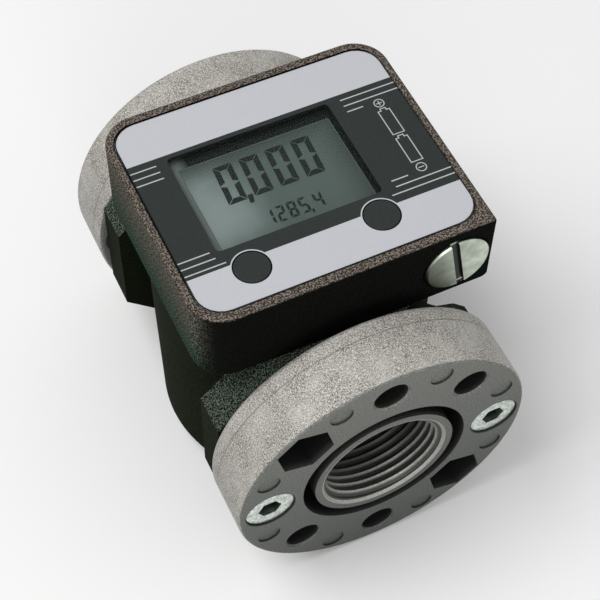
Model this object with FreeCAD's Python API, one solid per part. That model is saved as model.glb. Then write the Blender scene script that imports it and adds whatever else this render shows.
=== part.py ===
"""In-line turbine flow meter for fuel, with a battery display head.

The meter hangs in a pipe between its two threaded flanges. Fluid runs along +Y. The drum holds
a measuring insert with the turbine, reached from below, and carries the display housing on top.

Everything is drawn about the middle of the meter, on the flow axis: X across, Y along the flow,
Z up. save() then moves each piece by half the face-to-face length, so that the origin of the
finished part is the centre of the inlet flange's face. Millimetres throughout.
"""
import FreeCAD, Part
import math
import os

V = FreeCAD.Vector
Y_AXIS = V(0, 1, 0)
Z_AXIS = V(0, 0, 1)

# ---- driving dimensions -------------------------------------------------------------------
FACE_TO_FACE = 111.0      # from inlet face to outlet face
FLANGE_D = 80.0
FLANGE_T = 17.5
PORT_MAJOR_D = 33.2       # G1 pipe thread: major diameter, from which the ridges stand inward
PORT_MOUTH_D = 34.4       # chamfer at the mouth of the thread
STATION_R = 31.5          # eight stations on this radius round the port
BOLT_HOLE_D = 9.0         # clearance for M8
NUT_FLATS = 13.4          # pocket for an M8 nut
DRUM_TOP_R = 37.0
DRUM_BOTTOM_R = 35.8
DRUM_BOTTOM_Z = -35.2
COLLAR_HALF = 37.5        # octagonal collar behind each flange: half its width over the flats
COLLAR_FLAT = 15.0        # half the height of its upright side
COLLAR_T = 10.7
SHOULDER = ((37.5, 9.0), (33.6, 12.9), (28.5, 14.8))   # inlet collar, cut back under the cap
HEAD_BOTTOM_Z = 30.8      # underside of the display housing
HEAD_TOP_Z = 53.0
HEAD_W = 76.4             # along X
HEAD_D = 66.6             # along Y
HEAD_CORNER_R = 9.0
BARREL_CORNER_R = 0.7     # the corner over the battery barrel is nearly square
LABEL_W = 72.0
LABEL_D = 61.0
LABEL_CORNER_R = 6.5
LABEL_T = 1.0
PASSAGE_R = 12.5          # flow passage in the drum
ROTOR_BORE_R = 13.0       # cross bore of the measuring insert
BATTERY_X = 28.3
BATTERY_Z = 41.45
CELL_R = 6.0              # two N cells in a row
CELL_L = 30.2

# ---- fits ---------------------------------------------------------------------------------
SEAT = 0.05               # radial room round a piece that is only laid in its seat
RUN = 0.03                # radial clearance of the rotor shaft in its bushes
PLUG_ROOM = 0.1           # radial room round the insert, the cover and the sensor
HOLE_END = 0.5            # a screw's hole runs on this far past its end

# ---- levels worked out from the driving dimensions ----------------------------------------
FACE_Y = FACE_TO_FACE / 2
SEAT_Y = FACE_Y - FLANGE_T            # where a flange meets its collar
HALF_W = HEAD_W / 2
HALF_D = HEAD_D / 2
DECK_T = 0.8                          # gasket between drum and display housing
DRUM_TOP_Z = HEAD_BOTTOM_Z - DECK_T
LABEL_TOP_Z = HEAD_TOP_Z - 0.3
LABEL_SEAT_Z = LABEL_TOP_Z - LABEL_T


# ---- small drawing helpers ----------------------------------------------------------------
def rod(radius, low, high, axis=Z_AXIS, at=V(0, 0, 0)):
    """Round bar along an axis, from low to high, on the axis line through the point at."""
    return Part.makeCylinder(radius, high - low, at + axis * low, axis)


def tube(outer, inner, low, high, axis=Z_AXIS, at=V(0, 0, 0)):
    return rod(outer, low, high, axis, at).cut(rod(inner, low, high, axis, at))


def cone(radius_low, radius_high, low, high, axis=Z_AXIS, at=V(0, 0, 0)):
    return Part.makeCone(radius_low, radius_high, high - low, at + axis * low, axis)


def block(x0, x1, y0, y1, z0, z1):
    return Part.makeBox(x1 - x0, y1 - y0, z1 - z0, V(x0, y0, z0))


def ring(radius, section_r, axis=Z_AXIS, at=V(0, 0, 0)):
    """O-ring."""
    return Part.makeTorus(radius, section_r, at, axis)


def prism(points, direction):
    """Straight prism over a closed polygon."""
    wire = Part.makePolygon(points + [points[0]])
    return Part.Face(wire).extrude(direction)


def rounded_plate(x0, x1, y0, y1, z0, z1, radii):
    """Plate with its own radius at each corner: back right, back left, front left, front right."""
    corners = [(x1, y1, 0), (x0, y1, 90), (x0, y0, 180), (x1, y0, 270)]
    arcs = []
    for (x, y, start), r in zip(corners, radii):
        turn = math.radians(start + 45)
        centre = V(x - math.copysign(r, math.cos(turn)), y - math.copysign(r, math.sin(turn)), z0)
        ends = []
        for angle in (start, start + 45, start + 90):
            a = math.radians(angle)
            ends.append(centre + V(r * math.cos(a), r * math.sin(a), 0))
        arcs.append(ends)
    edges = []
    for i, (first, middle, last) in enumerate(arcs):
        edges.append(Part.Arc(first, middle, last).toShape())
        edges.append(Part.LineSegment(last, arcs[(i + 1) % 4][0]).toShape())
    return Part.Face(Part.Wire(edges)).extrude(V(0, 0, z1 - z0))


def around(radius, angles_deg, y=0.0):
    """Points on a circle round the flow axis, with angles seen from the inlet: 0 is +X, 90 is +Z."""
    points = []
    for angle in angles_deg:
        a = math.radians(angle)
        points.append(V(radius * math.cos(a), y, radius * math.sin(a)))
    return points


def outlet_side(shape):
    """The same piece turned round to the outlet side."""
    turned = shape.copy()
    turned.rotate(V(0, 0, 0), Z_AXIS, 180)
    return turned


def save(name, *solids):
    """Write one node, as one solid or as a group of separate ones."""
    shape = solids[0] if len(solids) == 1 else Part.makeCompound(list(solids))
    shape = shape.copy()
    shape.translate(V(0, FACE_Y, 0))
    assert shape.isValid(), name
    shape.exportStep("parts/%s.step" % name)
    print("%-22s %2d solid(s) %9.1f mm3" % (name, len(shape.Solids), shape.Volume))


# ---- flanges ------------------------------------------------------------------------------
SCREW_ANGLES = (0, 180)               # countersunk screws into the collar
UPRIGHT_ANGLES = (90, 270)            # the pair of plain holes above and below the port
BOLT_ANGLES = (45, 225) + UPRIGHT_ANGLES
NUT_ANGLES = (135, 315)               # bolt holes with a nut pocket
PIN_MARKS = [22.5 + 45 * i for i in range(8)]
GROOVE_OUTER_R = 22.6                 # deep relief round the threaded collar
GROOVE_INNER_R = 19.3
GROOVE_DEPTH = 11.0
NUT_DEPTH = 9.0
SCREW_R = 3.0
SCREW_HEAD_R = 6.4
SCREW_HEAD_ROOM = 0.3                 # radial gap round the sunk head
SOCKET_FLATS = 5.5
SOCKET_DEPTH = 2.6
SCREW_CONE = 3.6
SCREW_SINK = 0.5                      # the head lies this far under the face
SCREW_L = 26.0
FLANGE_EDGE_R = 1.3
HOLE_CHAMFER = 0.5
PIN_MARK_R = 34.6
PIN_MARK_SIZE = 3.1
PIN_MARK_DEPTH = 0.6


def screw_seat(radial_room):
    """Solid of a countersunk screw at the origin, its head's face at y = 0, pointing along +Y."""
    r = SCREW_R + radial_room
    head = cone(SCREW_HEAD_R + radial_room, r, 0, SCREW_CONE, Y_AXIS)
    return head.fuse(rod(r, SCREW_CONE, SCREW_L, Y_AXIS))


def flange():
    """Die-cast flange with the female pipe thread, drawn on the inlet side."""
    y0 = -FACE_Y
    y1 = -SEAT_Y
    body = rod(FLANGE_D / 2, y0, y1, Y_AXIS)
    rims = [e for e in body.Edges if isinstance(e.Curve, Part.Circle)]
    body = body.makeFillet(FLANGE_EDGE_R, rims)
    port = rod(PORT_MAJOR_D / 2, y0, y1, Y_AXIS)
    chamfer = (PORT_MOUTH_D - PORT_MAJOR_D) / 2
    mouth = cone(PORT_MOUTH_D / 2, PORT_MAJOR_D / 2, y0, y0 + chamfer, Y_AXIS)
    relief = tube(GROOVE_OUTER_R, GROOVE_INNER_R, y0, y0 + GROOVE_DEPTH, Y_AXIS)
    cuts = [port, mouth, relief]
    for p in around(STATION_R, BOLT_ANGLES + NUT_ANGLES):
        cuts.append(rod(BOLT_HOLE_D / 2, y0, y1, Y_AXIS, p))
    for p in around(STATION_R, BOLT_ANGLES):
        cuts.append(cone(BOLT_HOLE_D / 2 + HOLE_CHAMFER, BOLT_HOLE_D / 2,
                         y0, y0 + HOLE_CHAMFER, Y_AXIS, p))
    for angle in NUT_ANGLES:
        centre = around(STATION_R, [angle], y0)[0]
        corner_r = NUT_FLATS / math.sqrt(3)
        corners = [centre + p for p in around(corner_r, [angle + 30 + 60 * i for i in range(6)])]
        cuts.append(prism(corners, V(0, NUT_DEPTH, 0)))
    for p in around(STATION_R, SCREW_ANGLES, y0):
        counterbore = rod(SCREW_HEAD_R + SCREW_HEAD_ROOM, 0, 2 * SCREW_SINK, Y_AXIS, p)
        seat = screw_seat(SEAT)
        seat.translate(p + V(0, SCREW_SINK, 0))
        cuts.append(counterbore)
        cuts.append(seat)
    for p in around(PIN_MARK_R, PIN_MARKS):
        cuts.append(rod(PIN_MARK_SIZE, y0, y0 + PIN_MARK_DEPTH, Y_AXIS, p))
    return body.cut(cuts).removeSplitter()


def flange_screws():
    """The two hex-socket countersunk screws of one flange."""
    socket_r = SOCKET_FLATS / math.sqrt(3)
    socket = prism(around(socket_r, [60 * i for i in range(6)]), V(0, SOCKET_DEPTH, 0))
    screw = screw_seat(0).cut(socket)
    screws = []
    for p in around(STATION_R, SCREW_ANGLES, -FACE_Y + SCREW_SINK):
        placed = screw.copy()
        placed.translate(p)
        screws.append(placed)
    return screws


FLANGE_RING_R = 19.6
FLANGE_RING_SECTION = 1.2


def flange_oring():
    return ring(FLANGE_RING_R, FLANGE_RING_SECTION, Y_AXIS, V(0, -SEAT_Y + FLANGE_RING_SECTION, 0))


# ---- drum ---------------------------------------------------------------------------------
INSERT_R = 25.5
INSERT_TOP_Z = 19.0
INSERT_BOTTOM_Z = -25.0
COVER_R = 32.9
COVER_T = 3.5
COVER_SCREW_R = 29.0                  # radius of the circle that the cover's screws stand on
COVER_SCREWS = 6
COVER_SCREW_THREAD_R = 2.0
COVER_SCREW_HEAD_R = 3.5
COVER_SCREW_CONE = 1.6
COVER_SCREW_L = 11.0
CROSS_RECESS = (2.0, 0.4, 1.2)        # arm length, half thickness and depth of the cross
PICKUP_R = 4.0
PICKUP_FLOOR_Z = 21.5
DECK_SCREWS = [(-24, -18), (-24, 18), (10, -19), (10, 19)]
DECK_SCREW_END_Z = 23.0
DECK_SCREW_THREAD_R = 2.0
DECK_SCREW_HOLE_R = 2.2               # clearance hole in the housing's floor and the gasket
DECK_SCREW_HEAD_R = 3.5
DECK_SCREW_HEAD_T = 2.4
DECK_SCREW_SLOT_T = 1.0
DRUM_FOOT_R = 0.8
NUT_NOTCH_R = 7.6                     # room behind the upright bolt holes for a thin M8 nut
NUT_NOTCH_DEPTH = 4.2


def collar_outline(y):
    """Octagon behind a flange, cut level with the head above and the drum below.

    On the inlet side its right shoulder is lower, which leaves room to reach the battery cap.
    """
    top_x = COLLAR_HALF - (DRUM_TOP_Z - COLLAR_FLAT)
    bottom_x = COLLAR_HALF + (DRUM_BOTTOM_Z + COLLAR_FLAT)
    lower = [(bottom_x, DRUM_BOTTOM_Z), (COLLAR_HALF, -COLLAR_FLAT)]
    upper = [(COLLAR_HALF, COLLAR_FLAT), (top_x, DRUM_TOP_Z)]
    left = [(-x, z) for x, z in reversed(lower + upper)]
    if y < 0:
        inner_x, inner_z = SHOULDER[-1]
        upper = [*SHOULDER, (inner_x - (DRUM_TOP_Z - inner_z), DRUM_TOP_Z)]
    return [V(x, y, z) for x, z in lower + upper + left]


def meter_body():
    """Drum with an octagonal collar on each side, the flow passage and the well for the insert."""
    drum = cone(DRUM_BOTTOM_R, DRUM_TOP_R, DRUM_BOTTOM_Z, DRUM_TOP_Z)
    foot = [e for e in drum.Edges if isinstance(e.Curve, Part.Circle)
            and abs(e.Curve.Center.z - DRUM_BOTTOM_Z) < 0.01]
    drum = drum.makeFillet(DRUM_FOOT_R, foot)
    collars = []
    for side in (-1, 1):
        start = side * SEAT_Y
        collars.append(prism(collar_outline(start), V(0, -side * COLLAR_T, 0)))
    body = drum.fuse(collars)
    recess_z = DRUM_BOTTOM_Z + COVER_T
    cuts = [
        rod(PASSAGE_R, -SEAT_Y, SEAT_Y, Y_AXIS),
        rod(INSERT_R + PLUG_ROOM, recess_z, INSERT_TOP_Z),
        rod(COVER_R + PLUG_ROOM, DRUM_BOTTOM_Z, recess_z),
        rod(PICKUP_R + PLUG_ROOM, PICKUP_FLOOR_Z, DRUM_TOP_Z),
    ]
    for side in (-1, 1):
        low, high = sorted((side * SEAT_Y, side * (SEAT_Y - 2 * FLANGE_RING_SECTION)))
        groove_in = FLANGE_RING_R - FLANGE_RING_SECTION
        groove_out = FLANGE_RING_R + FLANGE_RING_SECTION
        cuts.append(tube(groove_out + SEAT, groove_in - SEAT, low, high, Y_AXIS))
    hole_end = FACE_Y - SCREW_SINK - SCREW_L - HOLE_END
    for p in around(STATION_R, SCREW_ANGLES):
        for low, high in ((-SEAT_Y, -hole_end), (hole_end, SEAT_Y)):
            cuts.append(rod(SCREW_R + SEAT, low, high, Y_AXIS, p))
    for p in around(STATION_R, UPRIGHT_ANGLES):
        for low, high in ((-SEAT_Y, -SEAT_Y + NUT_NOTCH_DEPTH), (SEAT_Y - NUT_NOTCH_DEPTH, SEAT_Y)):
            cuts.append(rod(NUT_NOTCH_R, low, high, Y_AXIS, p))
    screw_end_z = DRUM_BOTTOM_Z + COVER_SCREW_L + HOLE_END
    for p in cover_screw_points():
        cuts.append(rod(COVER_SCREW_THREAD_R + SEAT, recess_z, screw_end_z, at=p))
    for x, y in DECK_SCREWS:
        cuts.append(rod(DECK_SCREW_THREAD_R + SEAT, DECK_SCREW_END_Z - HOLE_END, DRUM_TOP_Z,
                        at=V(x, y, 0)))
    return body.cut(cuts).removeSplitter()


def cover_screw_points():
    points = []
    for i in range(COVER_SCREWS):
        a = math.radians(30 + i * 360 / COVER_SCREWS)
        points.append(V(COVER_SCREW_R * math.cos(a), COVER_SCREW_R * math.sin(a), 0))
    return points


SPIGOT_TOP_Z = INSERT_BOTTOM_Z
SPIGOT_R = INSERT_R - PLUG_ROOM
SPIGOT_HOLLOW_R = (15.0, 18.0)        # the hollow widens towards the insert
COVER_CHAMFER = 0.3
COVER_RING_Z = -28.2
COVER_RING_SECTION = 0.9


def cover_screw(radial_room):
    """Countersunk M4 screw pointing up, its head's face at z = 0."""
    r = COVER_SCREW_THREAD_R + radial_room
    head = cone(COVER_SCREW_HEAD_R + radial_room, r, 0, COVER_SCREW_CONE)
    return head.fuse(rod(r, COVER_SCREW_CONE, COVER_SCREW_L))


def bottom_cover():
    """Cover that closes the well from below, with a spigot that carries the O-ring."""
    plate = rod(COVER_R, DRUM_BOTTOM_Z, DRUM_BOTTOM_Z + COVER_T)
    rim = [e for e in plate.Edges if isinstance(e.Curve, Part.Circle)
           and abs(e.Curve.Center.z - DRUM_BOTTOM_Z) < 0.01]
    plate = plate.makeChamfer(COVER_CHAMFER, rim)
    spigot = rod(SPIGOT_R, DRUM_BOTTOM_Z + COVER_T, SPIGOT_TOP_Z)
    hollow = cone(*SPIGOT_HOLLOW_R, DRUM_BOTTOM_Z + COVER_T, SPIGOT_TOP_Z)
    cover = plate.fuse(spigot)
    groove_floor_r = INSERT_R + PLUG_ROOM - 2 * COVER_RING_SECTION
    cuts = [hollow, tube(SPIGOT_R, groove_floor_r, COVER_RING_Z - COVER_RING_SECTION - SEAT,
                         COVER_RING_Z + COVER_RING_SECTION + SEAT)]
    for p in cover_screw_points():
        hole = cover_screw(SEAT)
        hole.translate(p + V(0, 0, DRUM_BOTTOM_Z))
        cuts.append(hole)
    return cover.cut(cuts).removeSplitter()


def cover_screws():
    screws = []
    arm, half_t, depth = CROSS_RECESS
    cross = block(-arm, arm, -half_t, half_t, 0, depth)
    turned = cross.copy()
    turned.rotate(V(0, 0, 0), Z_AXIS, 90)
    screw = cover_screw(0).cut([cross, turned])
    for p in cover_screw_points():
        placed = screw.copy()
        placed.translate(p + V(0, 0, DRUM_BOTTOM_Z))
        screws.append(placed)
    return screws


# ---- turbine ------------------------------------------------------------------------------
CLIP_Y = 19.8                         # retaining rings start here
CLIP_T = 1.0
VANE_IN_Y = 9.5                       # the vane cartridges reach from here to the rings
HUB_R = 4.5
BUSH_R = 2.5
BUSH_L = 4.2
SHAFT_R = 1.0
SHAFT_HALF = 12.6
ROTOR_HALF = 7.5
BLADES = 8
BLADE_TIP_R = 12.3
BLADE_LEAD = 110.0                    # axial advance of the blades' helix in one turn
BLADE_HALF = 6.0
BLADE_T = 1.0
BLADE_EDGE = 0.15                     # share of the thickness left each side at the edges
BLADE_FULL = 0.55                     # share of the half length that has the full thickness
ROTOR_CHAMFER = 0.6
MAGNET_R = 1.1
MAGNET_L = 4.0
MAGNET_OFFSET = 2.8                   # from the shaft's axis
SHAFT_CHAMFER = 0.3
CLIP_GROOVE = 0.6                     # depth of the retaining ring's groove
CLIP_BITE = 0.5                       # how far the ring reaches into it
CLIP_INSIDE = 0.8                     # and how far it stands out into the bore
CLIP_GAP = 3.0
VANES = 4
VANE_T = 1.0
VANE_SETBACK = 1.5                    # the vanes start this far behind the hub's nose
VANE_RIM_T = 0.85
BUSH_HOLE_L = 3.4


def measuring_insert():
    """Plug that fills the well and carries the turbine in its cross bore."""
    plug = rod(INSERT_R, INSERT_BOTTOM_Z, INSERT_TOP_Z)
    cuts = [rod(ROTOR_BORE_R, -INSERT_R, INSERT_R, Y_AXIS)]
    for low, high in ((-CLIP_Y - CLIP_T, -CLIP_Y), (CLIP_Y, CLIP_Y + CLIP_T)):
        cuts.append(rod(ROTOR_BORE_R + CLIP_GROOVE, low, high, Y_AXIS))
    return plug.cut(cuts).removeSplitter()


def vane_cartridge():
    """Flow straightener on the inlet side: a nosed hub on four vanes, with the bush's seat."""
    nose_y = -CLIP_Y + HUB_R
    tip = V(0, -CLIP_Y, 0)
    shoulder = V(HUB_R, nose_y, 0)
    middle = V(HUB_R * math.sin(math.pi / 4), nose_y - HUB_R * math.cos(math.pi / 4), 0)
    outline = Part.Wire([
        Part.Arc(tip, middle, shoulder).toShape(),
        Part.LineSegment(shoulder, V(HUB_R, -VANE_IN_Y, 0)).toShape(),
        Part.LineSegment(V(HUB_R, -VANE_IN_Y, 0), V(0, -VANE_IN_Y, 0)).toShape(),
        Part.LineSegment(V(0, -VANE_IN_Y, 0), tip).toShape(),
    ])
    hub = Part.Face(outline).revolve(V(0, 0, 0), Y_AXIS, 360)
    rim_out = ROTOR_BORE_R - SEAT
    rim = tube(rim_out, rim_out - VANE_RIM_T, -CLIP_Y, -VANE_IN_Y, Y_AXIS)
    vanes = []
    for i in range(VANES):
        vane = block(HUB_R - VANE_T, rim_out - VANE_RIM_T / 2, -CLIP_Y + VANE_SETBACK, -VANE_IN_Y,
                     -VANE_T / 2, VANE_T / 2)
        vane.rotate(V(0, 0, 0), Y_AXIS, (i + 0.5) * 360 / VANES)
        vanes.append(vane)
    whole = hub.fuse([rim] + vanes)
    return whole.cut(rod(BUSH_R + SEAT, -VANE_IN_Y - BUSH_L, -VANE_IN_Y, Y_AXIS)).removeSplitter()


def bush():
    """Cup bush that carries one end of the rotor shaft."""
    cup = rod(BUSH_R, -VANE_IN_Y - BUSH_L, -VANE_IN_Y, Y_AXIS)
    return cup.cut(rod(SHAFT_R + RUN, -VANE_IN_Y - BUSH_HOLE_L, -VANE_IN_Y, Y_AXIS))


def retaining_ring(start_y):
    """Snap ring in the insert's cross bore, open at the bottom."""
    outer = ROTOR_BORE_R + CLIP_BITE
    end_y = start_y + CLIP_T
    band = tube(outer, ROTOR_BORE_R - CLIP_INSIDE, start_y, end_y, Y_AXIS)
    return band.cut(block(-CLIP_GAP / 2, CLIP_GAP / 2, start_y, end_y, -outer, 0))


def blade_section(radius):
    """Outline of a blade cut at one radius, upright on +Z: twisted to follow the helix."""
    slope = 2 * math.pi * radius / BLADE_LEAD
    run = math.hypot(1, slope)
    along = V(slope / run, 1 / run, 0)
    across = V(1 / run, -slope / run, 0)
    half = BLADE_HALF * run
    full = half * BLADE_FULL
    stations = [(-half, BLADE_EDGE), (-full, 0.5), (full, 0.5), (half, BLADE_EDGE)]
    upper = [along * s + across * (BLADE_T * t) for s, t in stations]
    lower = [along * s - across * (BLADE_T * t) for s, t in reversed(stations)]
    points = [p + V(0, 0, radius) for p in upper + lower]
    return Part.makePolygon(points + [points[0]])


def turbine_rotor():
    """Hub with twisted blades, two magnet pockets and the shaft's bore."""
    hub = rod(HUB_R, -ROTOR_HALF, ROTOR_HALF, Y_AXIS)
    ends = [e for e in hub.Edges if isinstance(e.Curve, Part.Circle)]
    hub = hub.makeChamfer(ROTOR_CHAMFER, ends)
    root_r = HUB_R - BLADE_T
    radii = (root_r, (root_r + BLADE_TIP_R) / 2, BLADE_TIP_R + BLADE_T)
    blank = Part.makeLoft([blade_section(r) for r in radii], True, True)
    blank = blank.common(tube(BLADE_TIP_R, HUB_R - BLADE_T / 2, -ROTOR_HALF, ROTOR_HALF, Y_AXIS))
    blades = []
    for i in range(BLADES):
        blade = blank.copy()
        blade.rotate(V(0, 0, 0), Y_AXIS, i * 360 / BLADES)
        blades.append(blade)
    rotor = hub.fuse(blades)
    cuts = [rod(SHAFT_R, -ROTOR_HALF, ROTOR_HALF, Y_AXIS)]
    cuts += [magnet(side, SEAT) for side in (-1, 1)]
    return rotor.cut(cuts).removeSplitter()


def magnet(side, radial_room):
    """Small bar magnet let into the end of the hub, beside the shaft."""
    at = V(0, 0, side * MAGNET_OFFSET)
    return rod(MAGNET_R + radial_room, -ROTOR_HALF, -ROTOR_HALF + MAGNET_L, Y_AXIS, at)


def rotor_shaft():
    shaft = rod(SHAFT_R, -SHAFT_HALF, SHAFT_HALF, Y_AXIS)
    ends = [e for e in shaft.Edges if isinstance(e.Curve, Part.Circle)]
    return shaft.makeChamfer(SHAFT_CHAMFER, ends)


# ---- display housing ----------------------------------------------------------------------
CAVITY = (-33.5, 19.4, -28.0, 28.0)
CAVITY_FLOOR_Z = HEAD_BOTTOM_Z + 2.5
BOARD_Z = 42.0
BOARD_T = 1.6
BOARD_POSTS = [(-29.8, -24.3), (-29.8, 24.3), (7.0, -24.9), (15.7, 24.3)]
BORE_R = 6.25                         # battery barrel
BARREL_END_Y = 30.9
BARREL_EDGE_R = 2.2                   # the housing's lower edge is rounded over the barrel
HEAD_RIM_R = 0.7
LABEL_GAP = 0.35
CAVITY_RADII = (4.0, 5.0, 5.0, 4.0)
SENSOR_HOLE_R = PICKUP_R + 0.4
POST_R = 2.6
BOARD_SCREW_R = 1.25
BOARD_SCREW_HEAD_R = 2.3
BOARD_SCREW_HEAD_T = 1.5
BOARD_SCREW_REACH = 6.0               # how far the screw goes into its post
GASKET_R = 33.0
CAP_RECESS_R = 9.2
CAP_BEVEL = 0.45
CAP_WALL_ROOM = 0.25                  # radial room between the cell and the hollow skirt
CAP_SLOT_W = 2.0
CAP_SLOT_DEPTH = 1.1
CAP_SLOT_TURN = -10.5
CAP_RING_GAP = 0.02                   # room above and below the cap's O-ring
CAP_R = 8.6
CAP_THREAD_R = 7.5
CAP_SEAT_Y = -HALF_D + 1.2            # floor of the cap's recess
CAP_THREAD_L = 6.5
CAP_FACE_Y = -HALF_D - 0.8
CAP_RING_R = 8.02
CAP_RING_SECTION = 0.42
BATTERY_AXIS = V(BATTERY_X, 0, BATTERY_Z)


def display_housing():
    """Die-cast head: a tub for the electronics beside the barrel for the batteries."""
    radii = (HEAD_CORNER_R, HEAD_CORNER_R, HEAD_CORNER_R, BARREL_CORNER_R)
    head = rounded_plate(-HALF_W, HALF_W, -HALF_D, HALF_D, HEAD_BOTTOM_Z, HEAD_TOP_Z, radii)
    rim = [e for e in head.Edges if min(v.Point.z for v in e.Vertexes) > HEAD_TOP_Z - 0.01]
    head = head.makeFillet(HEAD_RIM_R, rim)
    edge_x = HALF_W - BARREL_EDGE_R
    edge_z = HEAD_BOTTOM_Z + BARREL_EDGE_R
    corner = block(edge_x, HALF_W, -HALF_D, HALF_D, HEAD_BOTTOM_Z, edge_z)
    head = head.cut(corner.cut(rod(BARREL_EDGE_R, -HALF_D, HALF_D, Y_AXIS, V(edge_x, 0, edge_z))))
    half_w = LABEL_W / 2 + LABEL_GAP
    half_d = LABEL_D / 2 + LABEL_GAP
    corner_r = LABEL_CORNER_R + LABEL_GAP
    x0, x1, y0, y1 = CAVITY
    cuts = [
        rounded_plate(-half_w, half_w, -half_d, half_d, LABEL_SEAT_Z, HEAD_TOP_Z, [corner_r] * 4),
        rounded_plate(x0, x1, y0, y1, CAVITY_FLOOR_Z, LABEL_SEAT_Z, CAVITY_RADII),
        rod(SENSOR_HOLE_R, HEAD_BOTTOM_Z, CAVITY_FLOOR_Z),
        rod(BORE_R, CAP_SEAT_Y, BARREL_END_Y, Y_AXIS, BATTERY_AXIS),
        rod(CAP_THREAD_R + SEAT, CAP_SEAT_Y, CAP_SEAT_Y + CAP_THREAD_L + HOLE_END, Y_AXIS,
            BATTERY_AXIS),
        rod(CAP_RECESS_R, -HALF_D, CAP_SEAT_Y, Y_AXIS, BATTERY_AXIS),
    ]
    for x, y in DECK_SCREWS:
        cuts.append(rod(DECK_SCREW_HOLE_R, HEAD_BOTTOM_Z, CAVITY_FLOOR_Z, at=V(x, y, 0)))
    head = head.cut(cuts)
    posts = [rod(POST_R, CAVITY_FLOOR_Z, BOARD_Z, at=V(x, y, 0)) for x, y in BOARD_POSTS]
    hole_z = BOARD_Z - BOARD_SCREW_REACH - HOLE_END
    holes = [rod(BOARD_SCREW_R + SEAT, hole_z, BOARD_Z, at=V(x, y, 0)) for x, y in BOARD_POSTS]
    return head.fuse(posts).cut(holes).removeSplitter()


def deck_gasket():
    disc = rod(GASKET_R, DRUM_TOP_Z, HEAD_BOTTOM_Z)
    cuts = [rod(SENSOR_HOLE_R, DRUM_TOP_Z, HEAD_BOTTOM_Z)]
    for x, y in DECK_SCREWS:
        cuts.append(rod(DECK_SCREW_HOLE_R, DRUM_TOP_Z, HEAD_BOTTOM_Z, at=V(x, y, 0)))
    return disc.cut(cuts)


def deck_screws():
    """Four pan-head screws that hold the display housing down on the drum, from inside."""
    screws = []
    r = DECK_SCREW_HEAD_R
    half_t = DECK_SCREW_SLOT_T / 2
    top = CAVITY_FLOOR_Z + DECK_SCREW_HEAD_T
    for x, y in DECK_SCREWS:
        at = V(x, y, 0)
        shank = rod(DECK_SCREW_THREAD_R, DECK_SCREW_END_Z, CAVITY_FLOOR_Z, at=at)
        head = rod(r, CAVITY_FLOOR_Z, top, at=at)
        slot = block(x - r, x + r, y - half_t, y + half_t, top - DECK_SCREW_SLOT_T, top)
        screws.append(shank.fuse(head).cut(slot))
    return screws


# ---- display face -------------------------------------------------------------------------
WINDOW = (-26.0, 17.5, -14.0, 16.8)
WINDOW_CORNER_R = 1.2
BUTTONS = {"left_button": (-20.3, -21.2), "right_button": (14.0, -20.3)}
BUTTON_R = 4.45
BUTTON_TRAVEL = 0.6
BUTTON_GAP = 0.3
BUTTON_PROUD = 0.15                   # stands this far out of the plate
BUTTON_EDGE_R = 0.3
BUTTON_KEEPER = 0.6                   # the hidden flange is this much wider than the disc
BUTTON_KEEPER_T = 0.8
BUTTON_PLAY = 0.2                     # between the keeper and the plate
BUTTON_STEM_R = 2.0
PANE_GAP = 0.1
PANE_LIP = 1.0
PANE_LIP_T = 0.8
LCD_MARGIN = 1.4                      # the glass is this much wider than the window
LCD_LEDGE = 1.6                       # the lower sheet, and the upper one, past the window
LCD_UPPER_LEDGE = 0.2
LCD_UPPER_T = 1.1
STRIP_OFFSET = 0.5
STRIP_W = 2.0
BOARD_GAP = 0.8
BOARD_CORNER_R = 3.5
BOARD_HOLE_R = 1.5
SWITCH_HALF = 3.0
SWITCH_CASE_T = 3.2
SWITCH_STEM_R = 1.7
SENSOR_FOOT = (1.5, 2.0)              # how much wider the sensor's foot is, and its thickness
LCD_TOP_Z = LABEL_TOP_Z - 2.5
LCD_T = 2.6
SWITCH_TOP_Z = 48.2


def label_plate():
    """Printed front plate with the window's cut-out and two round button holes."""
    plate = rounded_plate(-LABEL_W / 2, LABEL_W / 2, -LABEL_D / 2, LABEL_D / 2,
                          LABEL_SEAT_Z, LABEL_TOP_Z, [LABEL_CORNER_R] * 4)
    x0, x1, y0, y1 = WINDOW
    cuts = [rounded_plate(x0, x1, y0, y1, LABEL_SEAT_Z, LABEL_TOP_Z, [WINDOW_CORNER_R] * 4)]
    for x, y in BUTTONS.values():
        cuts.append(rod(BUTTON_R + BUTTON_GAP, LABEL_SEAT_Z, LABEL_TOP_Z, at=V(x, y, 0)))
    return plate.cut(cuts)


def display_window():
    """Clear pane that fills the cut-out from below, on a flange glued under the plate."""
    x0, x1, y0, y1 = WINDOW
    g = PANE_GAP
    pane = rounded_plate(x0 + g, x1 - g, y0 + g, y1 - g, LABEL_SEAT_Z - g, LABEL_TOP_Z - g,
                         [WINDOW_CORNER_R - g] * 4)
    e = PANE_LIP
    lip = rounded_plate(x0 - e, x1 + e, y0 - e, y1 + e, LABEL_SEAT_Z - PANE_LIP_T,
                        LABEL_SEAT_Z, [WINDOW_CORNER_R + e] * 4)
    return pane.fuse(lip).removeSplitter()


def lcd_panel():
    """Two glass sheets, the lower one wider at the back and front for the contact strips."""
    x0, x1, y0, y1 = WINDOW
    x0 -= LCD_MARGIN
    x1 += LCD_MARGIN
    middle_z = LCD_TOP_Z - LCD_UPPER_T
    lower = block(x0, x1, y0 - LCD_LEDGE, y1 + LCD_LEDGE, LCD_TOP_Z - LCD_T, middle_z)
    upper = block(x0, x1, y0 - LCD_UPPER_LEDGE, y1 + LCD_UPPER_LEDGE, middle_z, LCD_TOP_Z)
    return lower.fuse(upper)


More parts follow.
